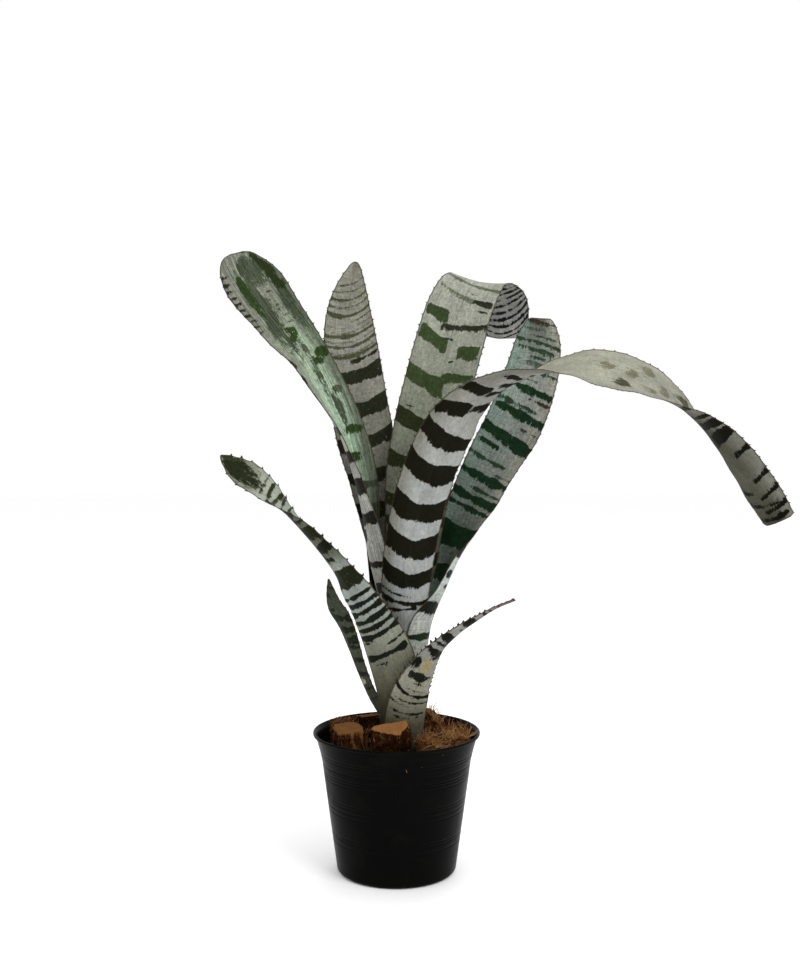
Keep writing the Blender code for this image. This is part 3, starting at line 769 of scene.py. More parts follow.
leaf_piece(
    "back_left_leaf",
    sheath=((130, 9, 112.5, 36), (130, 10.4, 140, 38), (130, 13.2, 170, 44), (130, 15.6, 200, 44),
            (130, 18.6, 227, 46), (132, 31.5, 254, 52)),
    blade=((-15, 33, 300, 55, 84, (0.6, -0.8, 0.05)), (-20, 40, 345, 56, 64, (0.4, -0.9, 0.1)),
           (-30, 47, 393, 57, 48, (0.2, -1, 0.12)), (-38, 50, 441, 55, 36, (0.1, -1, 0.15)),
           (-43, 52, 478, 52, 30, (0.1, -1, 0.2)), (-45, 52, 507, 46, 26, (0.1, -1, 0.2)),
           (-43, 51, 532, 42, 24, (0.1, -1, 0.2)), (-38, 50, 559, 34, 22, (0.1, -1, 0.2))),
    tip=(60, 1.55, 0.10), teeth=(8, 1.2, 160), seed=13,
    upper={
        # Both skins darken towards the base: painted shade inside the vase of sheaths.
        "ground_and_shade": [(0, (0.106, 0.109, 0.083)), (240, (0.125, 0.125, 0.100)),
                   (310, (0.164, 0.164, 0.134)), (380, (0.199, 0.199, 0.169)),
                   (440, (0.167, 0.164, 0.133)), (455, (0.103, 0.103, 0.079))],
        "left": (0.20, 0.205, 0.165),
        "darks": [(0.012, 0.014, 0.0065), (0.048, 0.0528, 0.0256), (0.096, 0.096, 0.064)],
        "marks": [
            band(437, 1.6, 7, -3, -1, 1, 1, 0.5), band(431, 1.5, 6, -4, -1, 1, 1, 0.5),
            band(425, 2.2, 6, -6, -1, 1, 1, 0.5), band(419, 1.4, 6, -7, -1, 1, 1, 0.5),
            band(412, 3.4, 5, -8, -1, 1, 1, 0.6), band(406, 1.6, 5, -8, -0.2, 1, 1, 0.5),
            band(401, 1.4, 4, -8, -1, 1, 2, 0.4), band(396.5, 1.3, 4, -8, -1, 1, 2, 0.4),
            band(392, 3, 4, -7, -1, 1, 1, 0.6), band(386.5, 1.4, 4, -7, -1, 1, 2, 0.4),
            band(382, 2.8, 4, -7, -1, 1, 1, 0.6), band(376, 1.4, 4, -7, -1, 1, 2, 0.4),
            band(372, 3.4, 4, -6, -1, 1, 1, 0.7), band(366.5, 3.6, 4, -6, -0.1, 1, 0, 0.8),
            band(350, 14, 4, -4, ragged=0.9), band(318, 16, 4, -4, ragged=0.9),
            band(287, 13, 4, -4, ragged=1.1), band(254, 13, 3, -3), band(222, 14, 3, -3),
            *grown_bands(100, 205, 20, 11, 9, -3)],
    },
    lower={
        "ground_and_shade": [(0, (0.240, 0.247, 0.210)), (300, (0.247, 0.247, 0.217)),
                   (455, (0.195, 0.188, 0.158))],
        "darks": [(0.011, 0.011, 0.0075), (0.04, 0.04, 0.024)],
        "marks": [
            *grown_bands(60, 360, 17, 11, 10, -4), *grown_bands(372, 452, 6, 3, 11, -5, 1)],
    },
    finish=leaf_finish("pale_leaf", streaks=0.5, rings=0.9, flecks=0.71, veil=0.02))


# ---------------------------------------------------------------- front arching leaf
# The longest leaf, at the front of the vase with its back to the viewer: silver white below,
# crossed by broad brown-black bands that sag in the middle. It turns edge-on, then arches far
# over to the right with its cream upper face showing, and droops. Its end is cut square.

leaf_piece(
    "front_arching_leaf",
    sheath=((268, 11.2, 111.5, 38), (268, 12.8, 140, 40), (268, 15.4, 170, 44), (268, 18, 200, 46),
            (268, 20.6, 227, 47), (268, 28.8, 254, 47)),
    blade=((11, -37, 290, 48, 62, (0, 1, 0.1)), (20, -42, 335, 49, 56, (-0.1, 1, 0.15)),
           (33, -46, 373, 51, 50, (-0.25, 1, 0.25)), (50, -47, 405, 53, 46, (-0.4, 1, 0.5)),
           (70, -47, 427, 53, 40, (-0.5, 0.7, 0.8)), (98, -47, 443, 52, 36, (-0.4, 0.3, 1)),
           (138, -47, 453, 52, 34, (-0.05, -0.25, 1)),
           (176, -48, 453, 53, 32, (0.05, -0.65, 0.75)), (212, -49, 443, 54, 40, (0.2, -0.6, 0.8)),
           (242, -50, 424, 56, 58, (0.4, -0.3, 0.85)), (266, -50, 403, 55, 74, (0.6, 0.05, 0.8)),
           (286, -51, 381, 52, 78, (0.7, 0.3, 0.6)), (303, -52, 359, 48, 70, (0.75, 0.45, 0.5)),
           (317, -53, 339, 44, 62, (0.8, 0.55, 0.35)), (328, -54, 322, 39, 60, (0.85, 0.55, 0.3))),
    tip=(4, 4.0, 0.8), teeth=(7, 1.3, 100), seed=14,
    upper={
        # Both skins darken towards the base and along the drooping end: painted shade inside the
        # vase and where the end faces down.
        "ground_and_shade": [(0, (0.114, 0.128, 0.093)), (300, (0.157, 0.165, 0.125)),
                   (390, (0.251, 0.251, 0.194)), (450, (0.267, 0.267, 0.214)),
                   (520, (0.226, 0.226, 0.190)), (570, (0.145, 0.145, 0.113)),
                   (653, (0.097, 0.097, 0.072))],
        "darks": [(0.048, 0.0504, 0.028), (0.128, 0.124, 0.084), (0.0154, 0.0154, 0.0084)],
        "marks": [
            *grown_bands(90, 380, 24, 11, 15, -3), blotch(452, -0.3, 14, 8, 1, 2.4),
            blotch(466, 0.45, 14, 12, 0, 2.6), blotch(474, -0.2, 10, 9, 1, 2.4),
            blotch(486, -0.6, 12, 8, 1, 2.4), blotch(492, 0.3, 12, 8, 1, 2.4),
            blotch(505, -0.1, 10, 14, 1, 2.4), blotch(514, 0.8, 16, 8, 0, 2.2),
            blotch(520, -0.6, 12, 9, 0, 2.4), band(530, 7, 4, 0, -0.9, 0.7, 0, 2.2),
            band(545, 9, tone=2, ragged=1.6), *grown_bands(556, 650, 9, 7, 16, 2, 2)],
    },
    lower={
        "ground_and_shade": [(0, (0.139, 0.144, 0.111)), (90, (0.209, 0.216, 0.185)),
                   (150, (0.258, 0.271, 0.264)), (250, (0.256, 0.267, 0.253)),
                   (320, (0.231, 0.231, 0.214)), (400, (0.235, 0.228, 0.213)),
                   (480, (0.101, 0.101, 0.075)), (560, (0.054, 0.054, 0.038)),
                   (605, (0.076, 0.076, 0.057)), (653, (0.046, 0.046, 0.033))],
        "right": (0.150, 0.152, 0.125),
        "darks": [(0.0052, 0.0052, 0.0024), (0.004, 0.004, 0.002)],
        "marks": [
            band(136, 3.5, -2, -4, -0.5, 0.7, 0, 0.7), band(143, 4.5, 2, -5, ragged=0.9),
            band(150, 1.8, 3, -5, -0.3, 1, 0, 0.8), band(169, 15, 2, -9),
            band(199, 19, 1, -10, ragged=1.1), band(231, 18, 0, -9), band(267, 18, 0, -9),
            band(297, 15, -1, -8, ragged=1.1), band(322, 14, -12, 0, -0.05, 0.98, 0, 1.2),
            band(325, 10, -17, 0, -0.98, -0.1, 0, 1.5), band(347, 12, -14, 0, 0.05, 0.98, 0, 1.2),
            band(345, 8, -20, 0, -0.98, 0.05, 0, 1.6), band(361, 9, -18, 0, -1, 0.15, 0, 1.5),
            band(376, 8, -16, 0, -0.9, 0.7, 0, 1.5), band(388, 5, -8, 0, -1, 0.3, 0, 1.2),
            band(402, 5, -8, 0, -1, 0.6, 0, 1.2), *grown_bands(414, 500, 16, 7, 17, -2),
            *grown_bands(508, 556, 11, 8, 18, -3, 1), band(552, 5, -2, 0, -1, 0, 1, 1.6),
            band(567, 12, -5, -2, -0.35, 1, 1, 1.3), band(587, 6, -5, 0, 0.25, 1, 1, 1.5),
            band(612, 5, -4, 2, 0.2, 1, 1, 1.4), band(620, 4, 4, 3, -1, -0.1, 1, 1.4),
            band(626, 4, -3, 3, 0, 1, 1, 1.3), band(633, 4, 3, 3, -0.9, 0.7, 1, 1.4),
            band(640, 4, -2, 2, -0.2, 1, 1, 1.2), band(647, 4, 0, 2, -0.9, 0.9, 1, 1.2)],
    },
    finish=leaf_finish("silver_leaf", grain=1.1, streaks=0.35, rings=0.3, flecks=0.70,
                       veil=0.005, breaks=0.78, crease_shade=0.12))


# ---------------------------------------------------------------- right leaf
# The leaf that leans right behind the arching one: blue-grey green with dark green bands that
# slope down to the right, over a white sheath. Its tip is short, as if nipped off.

leaf_piece(
    "right_leaf",
    sheath=((0, 13.4, 110, 46), (0, 15, 140, 50), (0, 17.6, 170, 56), (0, 20.2, 200, 62),
            (0, 23.8, 227, 66), (10, 34.5, 254, 62)),
    blade=((54, 14, 284, 63, 88, (-1, -0.4, 0.1)), (65, 20, 313, 61, 70, (-0.8, -0.6, 0.1)),
           (79, 26, 345, 59, 56, (-0.65, -0.75, 0.1)), (94, 32, 376, 58, 46, (-0.5, -0.85, 0.12)),
           (111, 37, 408, 58, 36, (-0.4, -0.9, 0.15)), (122, 40, 438, 56, 30, (-0.35, -0.9, 0.15)),
           (130, 43, 468, 50, 26, (-0.35, -0.9, 0.15)),
           (135, 46, 506, 38, 22, (-0.35, -0.9, 0.15))),
    tip=(26, 1.7, 0.50), teeth=(8, 1.3, 150), seed=19,
    upper={
        # Both skins darken towards the base: painted shade inside the vase of sheaths.
        "ground_and_shade": [(0, (0.063, 0.070, 0.052)), (200, (0.080, 0.093, 0.073)),
                   (280, (0.168, 0.193, 0.168)), (340, (0.207, 0.233, 0.207)),
                   (400, (0.138, 0.148, 0.128)), (421, (0.090, 0.093, 0.076))],
        "left": (0.14, 0.19, 0.16),
        "right": (0.25, 0.245, 0.205),
        "darks": [(0.0057, 0.0209, 0.0076), (0.0171, 0.0361, 0.019), (0.052, 0.072, 0.0544),
                  (0.0285, 0.0228, 0.0133)],
        "marks": [
            band(417, 3, -3, 0, -1, 1, 3, 1.6), band(410, 2, -3, tone=2),
            band(403, 1.8, -4, 1, -0.4, 1, 1), band(397, 3.2, -5, 1, -1, 1, 1, 1.2),
            band(390, 4, -5, 1, -0.8, 0.8, 1, 1.3), band(384, 2.2, -5, 0, -0.2, 1, 1, 1.2),
            band(378, 3.4, -5, 0, -0.7, 0.9, 2, 1.8), band(371, 2.6, -4, 0, -0.1, 1, 1, 1.5),
            band(362, 1.8, -4, 0, -0.5, 0.4, 2, 1.2), band(353, 6, -5, 0, -0.6, 1, 0, 1.5),
            band(345, 2, -4, 0, 0.1, 1, 3, 1.2), band(336, 4, -5, 0, -1, 0.6, 1, 1.6),
            band(328, 8, -5, 0, -0.9, 1, 0, 1.5), band(317, 2, -4, 0, 0.2, 1, 3, 1.2),
            band(302, 12, -5, ragged=1.3), band(290, 5, -4, 0, -0.9, -0.1),
            band(276, 4, -4, 0, -1, 0.5, 1, 1.2), band(267, 2, -4, 0, 0.1, 1, 3),
            band(259, 8, -4, ragged=1.3), band(247, 3, -4, 0, -0.5, 1, 1), band(238, 8, -4),
            band(228, 4, -4), band(200, 22, -3, ragged=0.9), band(166, 14, -2, ragged=0.9),
            *grown_bands(80, 150, 22, 10, 20)],
    },
    lower={
        "ground_and_shade": [(0, (0.192, 0.198, 0.157)), (100, (0.283, 0.291, 0.261)),
                   (170, (0.399, 0.434, 0.417)), (300, (0.330, 0.349, 0.330)),
                   (421, (0.229, 0.229, 0.200))],
        "darks": [(0.004, 0.0064, 0.004), (0.0072, 0.0168, 0.0056)],
        "marks": [
            band(78, 3, 0, -2, -1, 0.3, 1), band(108, 5.5, 0, -1, -1, 1, 1, 0.7),
            band(130, 11, 2, 0, -0.4, 1, 0, 1.1), blotch(152, 0.55, 4, 11),
            blotch(163, 0.75, 9, 12), band(186, 12, 0, -3), band(217, 14, 2, -3),
            *grown_bands(240, 415, 15, 9, 21, -3)],
    },
    finish=leaf_finish("blue_leaf", streaks=0.9, rings=1.3, flecks=0.69, veil=0.01, crease_shade=0.35))


# ---------------------------------------------------------------- small left leaf
# A short, narrow leaf, dark green on both faces, from an outer sheath at the left of the vase.
# It stands close behind the lower left leaf, almost edge-on, and ends in a sharp point.

leaf_piece(
    "small_left_leaf",
    sheath=((196, 15.6, 109, 36), (196, 19.5, 140, 32)),
    blade=((-25, -1, 160, 29, 80, (1, 0.3, 0.2)), (-34, -1, 182, 27, 70, (0.9, 0.4, 0.25)),
           (-41, -2, 204, 26, 56, (0.8, 0.5, 0.3)), (-48, -4, 225, 26, 50, (0.7, 0.6, 0.3)),
           (-57, -8, 245, 25, 44, (0.6, 0.7, 0.2)), (-61, -10, 268, 18, 40, (0.6, 0.7, 0.1))),
    tip=(34, 1.3, 0.06), teeth=(7, 1.1, 60), seed=22,
    upper={
        "ground_and_shade": [(0, (0.095, 0.113, 0.071)), (170, (0.068, 0.082, 0.054))],
        "darks": [(0.0088, 0.012, 0.0056)],
        "marks": grown_bands(40, 165, 12, 7, 23),
    },
    lower={
        "ground_and_shade": [(0, (0.042, 0.046, 0.029)), (60, (0.040, 0.044, 0.030)),
                   (110, (0.048, 0.056, 0.039)), (170, (0.039, 0.044, 0.029))],
        "darks": [(0.0042, 0.006, 0.0024), (0.34, 0.32, 0.2)],
        "marks": [
            band(62, 2.5), band(77, 4.5, 1), blotch(69, -0.2, 6, 9, 1, 0.8),
            *grown_bands(90, 165, 9, 6, 24), *grown_bands(20, 55, 12, 3, 25)],
    },
    finish=leaf_finish("dark_leaf", streaks=0.6, rings=0.3, flecks=0.70, veil=0.12, breaks=0.62))


# ---------------------------------------------------------------- lower left leaf
# An outer leaf that rises at the front and reaches far out left. Its back shows, pale grey with
# narrow rings above a plain sheath, then it rolls over to show its dark, scaly upper face at the
# tip. Its margins carry the plant's largest teeth.

leaf_piece(
    "lower_left_leaf",
    sheath=((262, 17.8, 108, 40), (262, 22.4, 140, 42), (260, 28.4, 170, 46)),
    blade=((-9, -31, 205, 47, 76, (0.3, 0.95, 0.15)), (-20, -37, 229, 44, 72, (0.4, 0.9, 0.3)),
           (-33, -43, 252, 42, 72, (0.45, 0.75, 0.5)), (-48, -48, 275, 41, 76, (0.5, 0.5, 0.75)),
           (-65, -53, 297, 41, 78, (0.45, 0.3, 0.9)), (-83, -57, 318, 41, 72, (0.4, 0.1, 1)),
           (-100, -61, 337, 40, 54, (0.35, -0.2, 0.95)),
           (-117, -64, 354, 38, 34, (0.3, -0.5, 0.8)), (-133, -66, 367, 36, 24, (0.3, -0.65, 0.7)),
           (-149, -67, 381, 34, 22, (0.3, -0.7, 0.7))),
    tip=(30, 1.35, 0.06), teeth=(10, 2.6, 120), seed=26,
    upper={
        # Both skins darken towards the base: painted shade inside the vase of sheaths.
        "ground_and_shade": [(0, (0.150, 0.170, 0.120)), (150, (0.209, 0.264, 0.209)),
                   (240, (0.240, 0.288, 0.228)), (285, (0.300, 0.324, 0.264)),
                   (300, (0.180, 0.192, 0.138)), (330, (0.144, 0.156, 0.108))],
        "darks": [(0.019, 0.0247, 0.0085), (0.0123, 0.0152, 0.0057)],
        "marks": [
            *grown_bands(110, 240, 10, 8, 27), band(253, 3), band(261, 3.5, 2), band(269, 4, -2),
            band(277, 3.5, 2), band(285, 3, 2, 0, -0.6, 1, 0, 1.4),
            blotch(306, -0.05, 40, 22, 1, 2.8), blotch(322, 0.5, 22, 9, 0, 2.6)],
    },
    lower={
        # Nearly black at the foot: painted shade deep in the vase.
        "ground_and_shade": [(0, (0.014, 0.011, 0.005)), (30, (0.024, 0.019, 0.010)),
                   (58, (0.050, 0.048, 0.029)), (85, (0.100, 0.100, 0.071)),
                   (115, (0.191, 0.199, 0.155)), (150, (0.242, 0.270, 0.250)),
                   (192, (0.204, 0.224, 0.198)), (204, (0.097, 0.103, 0.076)),
                   (330, (0.083, 0.090, 0.059))],
        "darks": [(0.004, 0.0059, 0.0023), (0.0081, 0.0113, 0.0027), (0.0049, 0.0072, 0.0045)],
        "marks": [
            band(91, 2, -3, 0, 0, 0.6, 2, 1.2), band(99, 5.4, -4, -1, -0.9, 0.95, 2, 0.7),
            band(106, 2, -6, 0, -1, 0, 2, 0.7), band(113, 1.6, -4, 0, 0.3, 1, 2, 0.6),
            band(119, 5.2, -4, -1, -1, 1, 2, 0.6), band(127, 4.4, -4, -1, -1, 1, 2, 0.6),
            band(135, 5.2, -4, -1, -1, 1, 2, 0.6), band(143, 4.8, -4, ragged=0.7),
            band(151, 4.4, -3, 0, -1, 1, 2, 0.6), band(159, 3.6, -3, ragged=0.7),
            band(178, 19, -2, tone=1), band(200, 8, 2, 0, -0.5, 1, 0, 1.6),
            band(212, 10, -2, ragged=1.6), band(231, 15, 2, 0, -1, 1, 1, 1.5),
            band(246, 5, 2, ragged=1.5), *grown_bands(254, 326, 9, 8, 28)],
    },
    finish=leaf_finish("toothed_leaf", grain=1.3, streaks=0.6, rings=0.5, flecks=0.71, veil=0.01,
                       crease_shade=0.1))


# ---------------------------------------------------------------- lower right leaf
# The shortest leaf, at the front right, folded like a gutter: a pale sheath with thin rings, one
# dry yellow patch, dark bands beyond it, and a dry, shrivelled tip. It has strong hooked teeth.

leaf_piece(
    "lower_right_leaf",
    sheath=((276, 20, 106.6, 42), (278, 24.8, 140, 40), (284, 30.8, 166, 37)),
    blade=((20, -36, 184, 31, 66, (-0.3, 0.95, 0.2)), (29, -40, 200, 27, 66, (-0.4, 0.8, 0.5)),
           (40, -44, 213, 26, 68, (-0.5, 0.6, 0.7)), (53, -48, 225, 24, 68, (-0.5, 0.45, 0.8)),
           (69, -52, 237, 20, 64, (-0.45, 0.35, 0.9)), (85, -56, 248, 14, 50, (-0.4, 0.3, 0.9)),
           (102, -59, 256, 7, 40, (-0.3, 0.3, 0.9))),
    tip=(6, 1.6, 1.35), teeth=(5.5, 2.6, 66), seed=29,
    upper={
        # Both skins darken towards the base: painted shade inside the vase of sheaths.
        "ground_and_shade": [(0, (0.164, 0.176, 0.132)), (110, (0.190, 0.197, 0.160)),
                   (175, (0.158, 0.126, 0.103)), (195, (0.129, 0.081, 0.068))],
        "darks": [(0.011, 0.013, 0.0075)],
        "marks": grown_bands(60, 180, 12, 7, 30),
    },
    lower={
        # Nearly black at the foot: painted shade deep in the vase.
        "ground_and_shade": [(0, (0.026, 0.024, 0.015)), (32, (0.067, 0.064, 0.041)),
                   (70, (0.230, 0.226, 0.176)), (110, (0.200, 0.200, 0.185)),
                   (150, (0.232, 0.232, 0.215)), (178, (0.184, 0.157, 0.138)),
                   (195, (0.124, 0.081, 0.072))],
        "darks": [(0.004, 0.0048, 0.0024), (0.24, 0.2, 0.09), (0.0056, 0.008, 0.004),
                  (0.068, 0.044, 0.028)],
        "marks": [
            band(43, 1.6, 0, -4, -0.6, 0.7, 2, 0.6), band(48, 2.2, 1, -5, -0.8, 0.9, 2, 0.6),
            band(55, 1.4, 2, -5, -0.1, 1, 0, 0.5), band(59, 1.8, 2, -5, -1, 0.8, 0, 0.5),
            band(67, 3.2, 4, -6, ragged=0.7), band(71.5, 1.2, 4, -5, -0.6, 0.6, 0, 0.5),
            band(76, 1.6, 3, -2, -0.6, 0.2, 0, 1.4), band(83, 7, 1, -2, -0.8, 0.8, 2, 1.6),
            blotch(93, -0.15, 14, 9, 1, 2.6), blotch(99, 0.3, 5, 5, 1, 2),
            blotch(93, 0.7, 12, 7, 0, 2), band(102, 2.5, -3, 0, -1, 0, 0, 1.6),
            band(109, 7, 2, ragged=1.5), band(119, 3, ragged=1.4), band(127, 9, 2, ragged=1.3),
            band(141, 2, end=0.4, ragged=1.2), band(151, 10, 1, ragged=1.2),
            band(166, 3.5, 1, ragged=0.9), band(172, 1.5, ragged=0.9),
            band(180, 2.5, tone=3, ragged=1.2)],
    },
    finish=leaf_finish("short_leaf", grain=1.3, streaks=0.6, rings=0.5, flecks=0.68, veil=0.01,
                       crease_shade=0.1))


# ---------------------------------------------------------------- husk chips
# Chunks of coconut husk lie on the mix and hide it: a sawn face is smooth and tan, the torn
# sides are dark red-brown with pale fibres running through them, and stray fibres stick out.

CHIP_GRAIN = {                        # the way the fibres run, and how torn and pale the chip is
    "front_left_chip": ((0.10, 0.10, 1), 0.25), "front_chip": ((0.12, 0.34, 0.95), 0.15),
    "front_right_chip": ((0.8, 0.5, 0.35), 0.9), "right_front_chip": ((0.5, -0.3, 0.8), 1.0),
    "right_chip": ((-0.3, 0.9, 0.3), 0.9), "back_right_chip": ((0.2, 0.3, 0.9), 0.8),
    "back_chip": ((0.9, 0.2, 0.2), 0.4), "back_left_chip": ((0.1, -0.2, 0.9), 0.2),
    "left_chip": ((0.3, 0.9, 0.2), 0.45), "small_right_chip": ((0.3, 0.8, 0.5), 0.8),
    "small_back_right_chip": ((0.9, 0.3, 0.1), 0.7), "small_back_chip": ((0.2, 0.4, 0.9), 0.5),
    "small_left_chip": ((0.1, 0.8, 0.5), 0.5), "front_crumb": ((0.9, 0.1, 0.3), 0.8),
    "left_crumb": ((0.2, 0.9, 0.3), 0.6), "back_crumb": ((0.8, 0.3, 0.2), 0.5),
}
SAWN_TOP = {                          # a spot on a slanting sawn top, the way it looks, how round
    "front_left_chip": ((-38, -25, 138.5), (0.0, -0.10, 0.99), 0.75),
    "front_chip": ((4, -45, 144.5), (-0.20, -0.37, 0.90), 0.25),
}
PALE_LAYERS = {                       # pale layers on the front of a chip: x, z, half width
    "front_left_chip": ((-41, 136, 1.5), (-31.5, 136, 1.7)),
}
SPLIT_SIDE = {                        # a spot on each side that split off, and the way it looks
    "front_chip": (((-12, -49, 141.5), (-0.46, -0.75, 0.50)),
                   ((12, -47, 144), (0.54, -0.67, 0.52))),
    "back_right_chip": (((31, 40, 136), (0.66, -0.1, 0.74)),),
}
TOP_WAVE = 0.8                        # how far a sawn top strays from flat, mm
SPLIT_WAVE = 2.2                      # the same for a side that split off
LAYER_SLANT = 0.28                    # how far a pale layer moves right for each mm down
FIBRE_LOW = 106                       # no stray fibre hangs lower than this, mm


def strand(points, radius, sides=4):
    """Points and faces of a thin closed fibre that tapers to its far end."""
    points = np.asarray(points, float)
    ahead = np.gradient(points, axis=0)
    ahead /= np.linalg.norm(ahead, axis=1, keepdims=True)
    reference = np.array([0.31, 0.77, 0.56])
    one = np.cross(ahead, reference)
    one /= np.linalg.norm(one, axis=1, keepdims=True)
    two = np.cross(ahead, one)
    angle = np.arange(sides) * tau / sides
    taper = np.linspace(1, 0.45, len(points))[:, None, None] * radius
    ring = points[:, None] + taper * (np.cos(angle)[None, :, None] * one[:, None]
                                      + np.sin(angle)[None, :, None] * two[:, None])
    faces = [tuple(reversed(range(sides)))]
    for i in range(len(points) - 1):
        for j in range(sides):
            low, high, after = i * sides, (i + 1) * sides, (j + 1) % sides
            faces.append((low + j, low + after, high + after, high + j))
    last = (len(points) - 1) * sides
    faces.append(tuple(last + j for j in range(sides)))
    return ring.reshape(-1, 3), faces


def chip_surface(node_name, grain, torn, levels):
    """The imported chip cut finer, its torn sides furrowed along the grain and its sawn ends left
    nearly flat. Returns points in mm, faces, places along the grain, how sawn each point is, and
    the way each one looks."""
    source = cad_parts[node_name]
    rough = bpy.data.objects.new("rough_chip", source.data.copy())
    bpy.context.scene.collection.objects.link(rough)
    weld = rough.modifiers.new("weld", "WELD")
    weld.merge_threshold = 0.00001
    cut = rough.modifiers.new("cut", "SUBSURF")
    cut.subdivision_type = "SIMPLE"
    cut.levels = cut.render_levels = levels
    graph = bpy.context.evaluated_depsgraph_get()
    fine = bpy.data.meshes.new_from_object(rough.evaluated_get(graph))
    points = np.array([v.co for v in fine.vertices]) / MM
    normals = np.array([v.normal for v in fine.vertices])
    faces = [tuple(p.vertices) for p in fine.polygons]
    bpy.data.objects.remove(rough)
    middle = points.mean(0)
    sawn = np.clip((np.abs(normals @ grain) - 0.72) / 0.2, 0, 1)
    side = np.cross(grain, (0.3, 0.2, 0.9))
    side /= np.linalg.norm(side)
    third = np.cross(grain, side)
    place = np.stack([points @ side, points @ third, points @ grain], 1)
    flat = np.zeros(len(points), bool)
    uneven = np.array([noise.noise(Vector(spot * 0.14)) for spot in points])
    if node_name in SAWN_TOP:
        spot, facing, round_off = SAWN_TOP[node_name]
        facing = np.array(facing) / np.linalg.norm(facing)
        across, half = points[:, :2] - middle[:2], np.ptp(points[:, :2], axis=0) / 2
        share = np.abs(across) / half
        corner = share.max(1) / np.maximum(np.hypot(*share.T), 1e-6)
        points[:, :2] = middle[:2] + across * (corner ** round_off)[:, None]
        over = (points - spot) @ facing + TOP_WAVE * uneven
        flat = (normals @ facing > 0.72) | (over > 0)
        points = points - np.where(flat, over, 0)[:, None] * facing
        sawn = np.where(flat, 1.0, np.minimum(sawn, 0.1))
    for spot, facing in SPLIT_SIDE.get(node_name, ()):
        facing = np.array(facing) / np.linalg.norm(facing)
        over = (points - spot) @ facing + SPLIT_WAVE * uneven
        points = points - np.maximum(over, 0)[:, None] * facing
        flat &= over <= 0
        sawn = np.where(over > 0, 0.0, sawn)
    for x, z, wide in PALE_LAYERS.get(node_name, ()):
        lean = points[:, 0] - x - LAYER_SLANT * (z - points[:, 2]) - 1.2 * uneven
        sawn = np.where((np.abs(lean) < wide) & (normals[:, 1] < -0.25) & ~flat, 0.5, sawn)
    moved = points.copy()
    for i, (spot, way) in enumerate(zip(place, normals)):
        way = np.where(flat[i], (0, 0, 1), way)
        furrow = noise.noise(Vector((spot[0] * 0.75, spot[1] * 0.75, spot[2] * 0.06)))
        fine_furrow = noise.noise(Vector((spot[0] * 1.9, spot[1] * 1.9, spot[2] * 0.12 + 9)))
        lump = noise.noise(Vector(spot * 0.11))
        pore = noise.noise(Vector(spot * 0.8))
        depth = (1 - sawn[i]) * (furrow * 1.3 + fine_furrow * 0.5) * (0.7 + 0.6 * torn)
        depth += lump * (0.5 + 0.8 * torn) * (0.3 if flat[i] else 1) + pore * 0.15 - 0.45
        moved[i] += way * np.clip(depth, -2.2, 0.5)
    return moved, faces, place, sawn, normals


def husk_chip(node_name, seed):
    """One chip with its stray fibres, as a piece."""
    chance = np.random.default_rng(seed)
    grain, torn = CHIP_GRAIN[node_name]
    grain = np.array(grain) / np.linalg.norm(grain)
    levels = 3 if "crumb" in node_name else 4
    points, faces, place, sawn, normals = chip_surface(node_name, grain, torn, levels)
    all_points, all_place, kind = [points], [place], [sawn]
    size = np.ptp(points, axis=0).mean()
    for _ in range(int((6 + 330 * torn ** 3) * size / 24)):
        start = int(chance.integers(len(points)))
        if normals[start][2] < -0.2:
            continue
        way = grain * chance.choice((-1, 1)) + normals[start] * chance.uniform(0.0, 0.4)
        way += chance.normal(0, 0.25 + 0.25 * torn, 3)
        way /= np.linalg.norm(way)
        if way[2] < -0.15:
            way[2] = abs(way[2])
        reach = chance.uniform(3, 7 + 6 * torn)
        curl = chance.normal(0, 0.22, 3)
        steps = np.linspace(-0.1, 1, 6)[:, None]
        line = points[start] + reach * (steps * way + steps ** 2 * curl)
        line[:, 2] = np.maximum(line[:, 2], FIBRE_LOW)
        base = sum(len(p) for p in all_points)
        thread, ring_faces = strand(line, chance.uniform(0.13, 0.30))
        all_points.append(thread)
        all_place.append(thread * (1, 1, 0.1))
        shade = noise.noise(Vector(points[start] * 0.12)) * 1.1 + chance.uniform(0, 0.9)
        kind.append(np.full(len(thread), 2 + np.clip(shade, 0, 0.9)))
        faces += [tuple(base + v for v in face) for face in ring_faces]
    mesh = bpy.data.meshes.new(node_name + "_husk")
    mesh.from_pydata((np.vstack(all_points) * MM).tolist(), [], faces)
    mark_points(mesh, place=np.vstack(all_place), kind=np.concatenate(kind))
    mesh.shade_smooth()
    mesh.update()
    return add_piece(node_name + "_husk", mesh, husk_finish(node_name, torn), "husk", node_name)


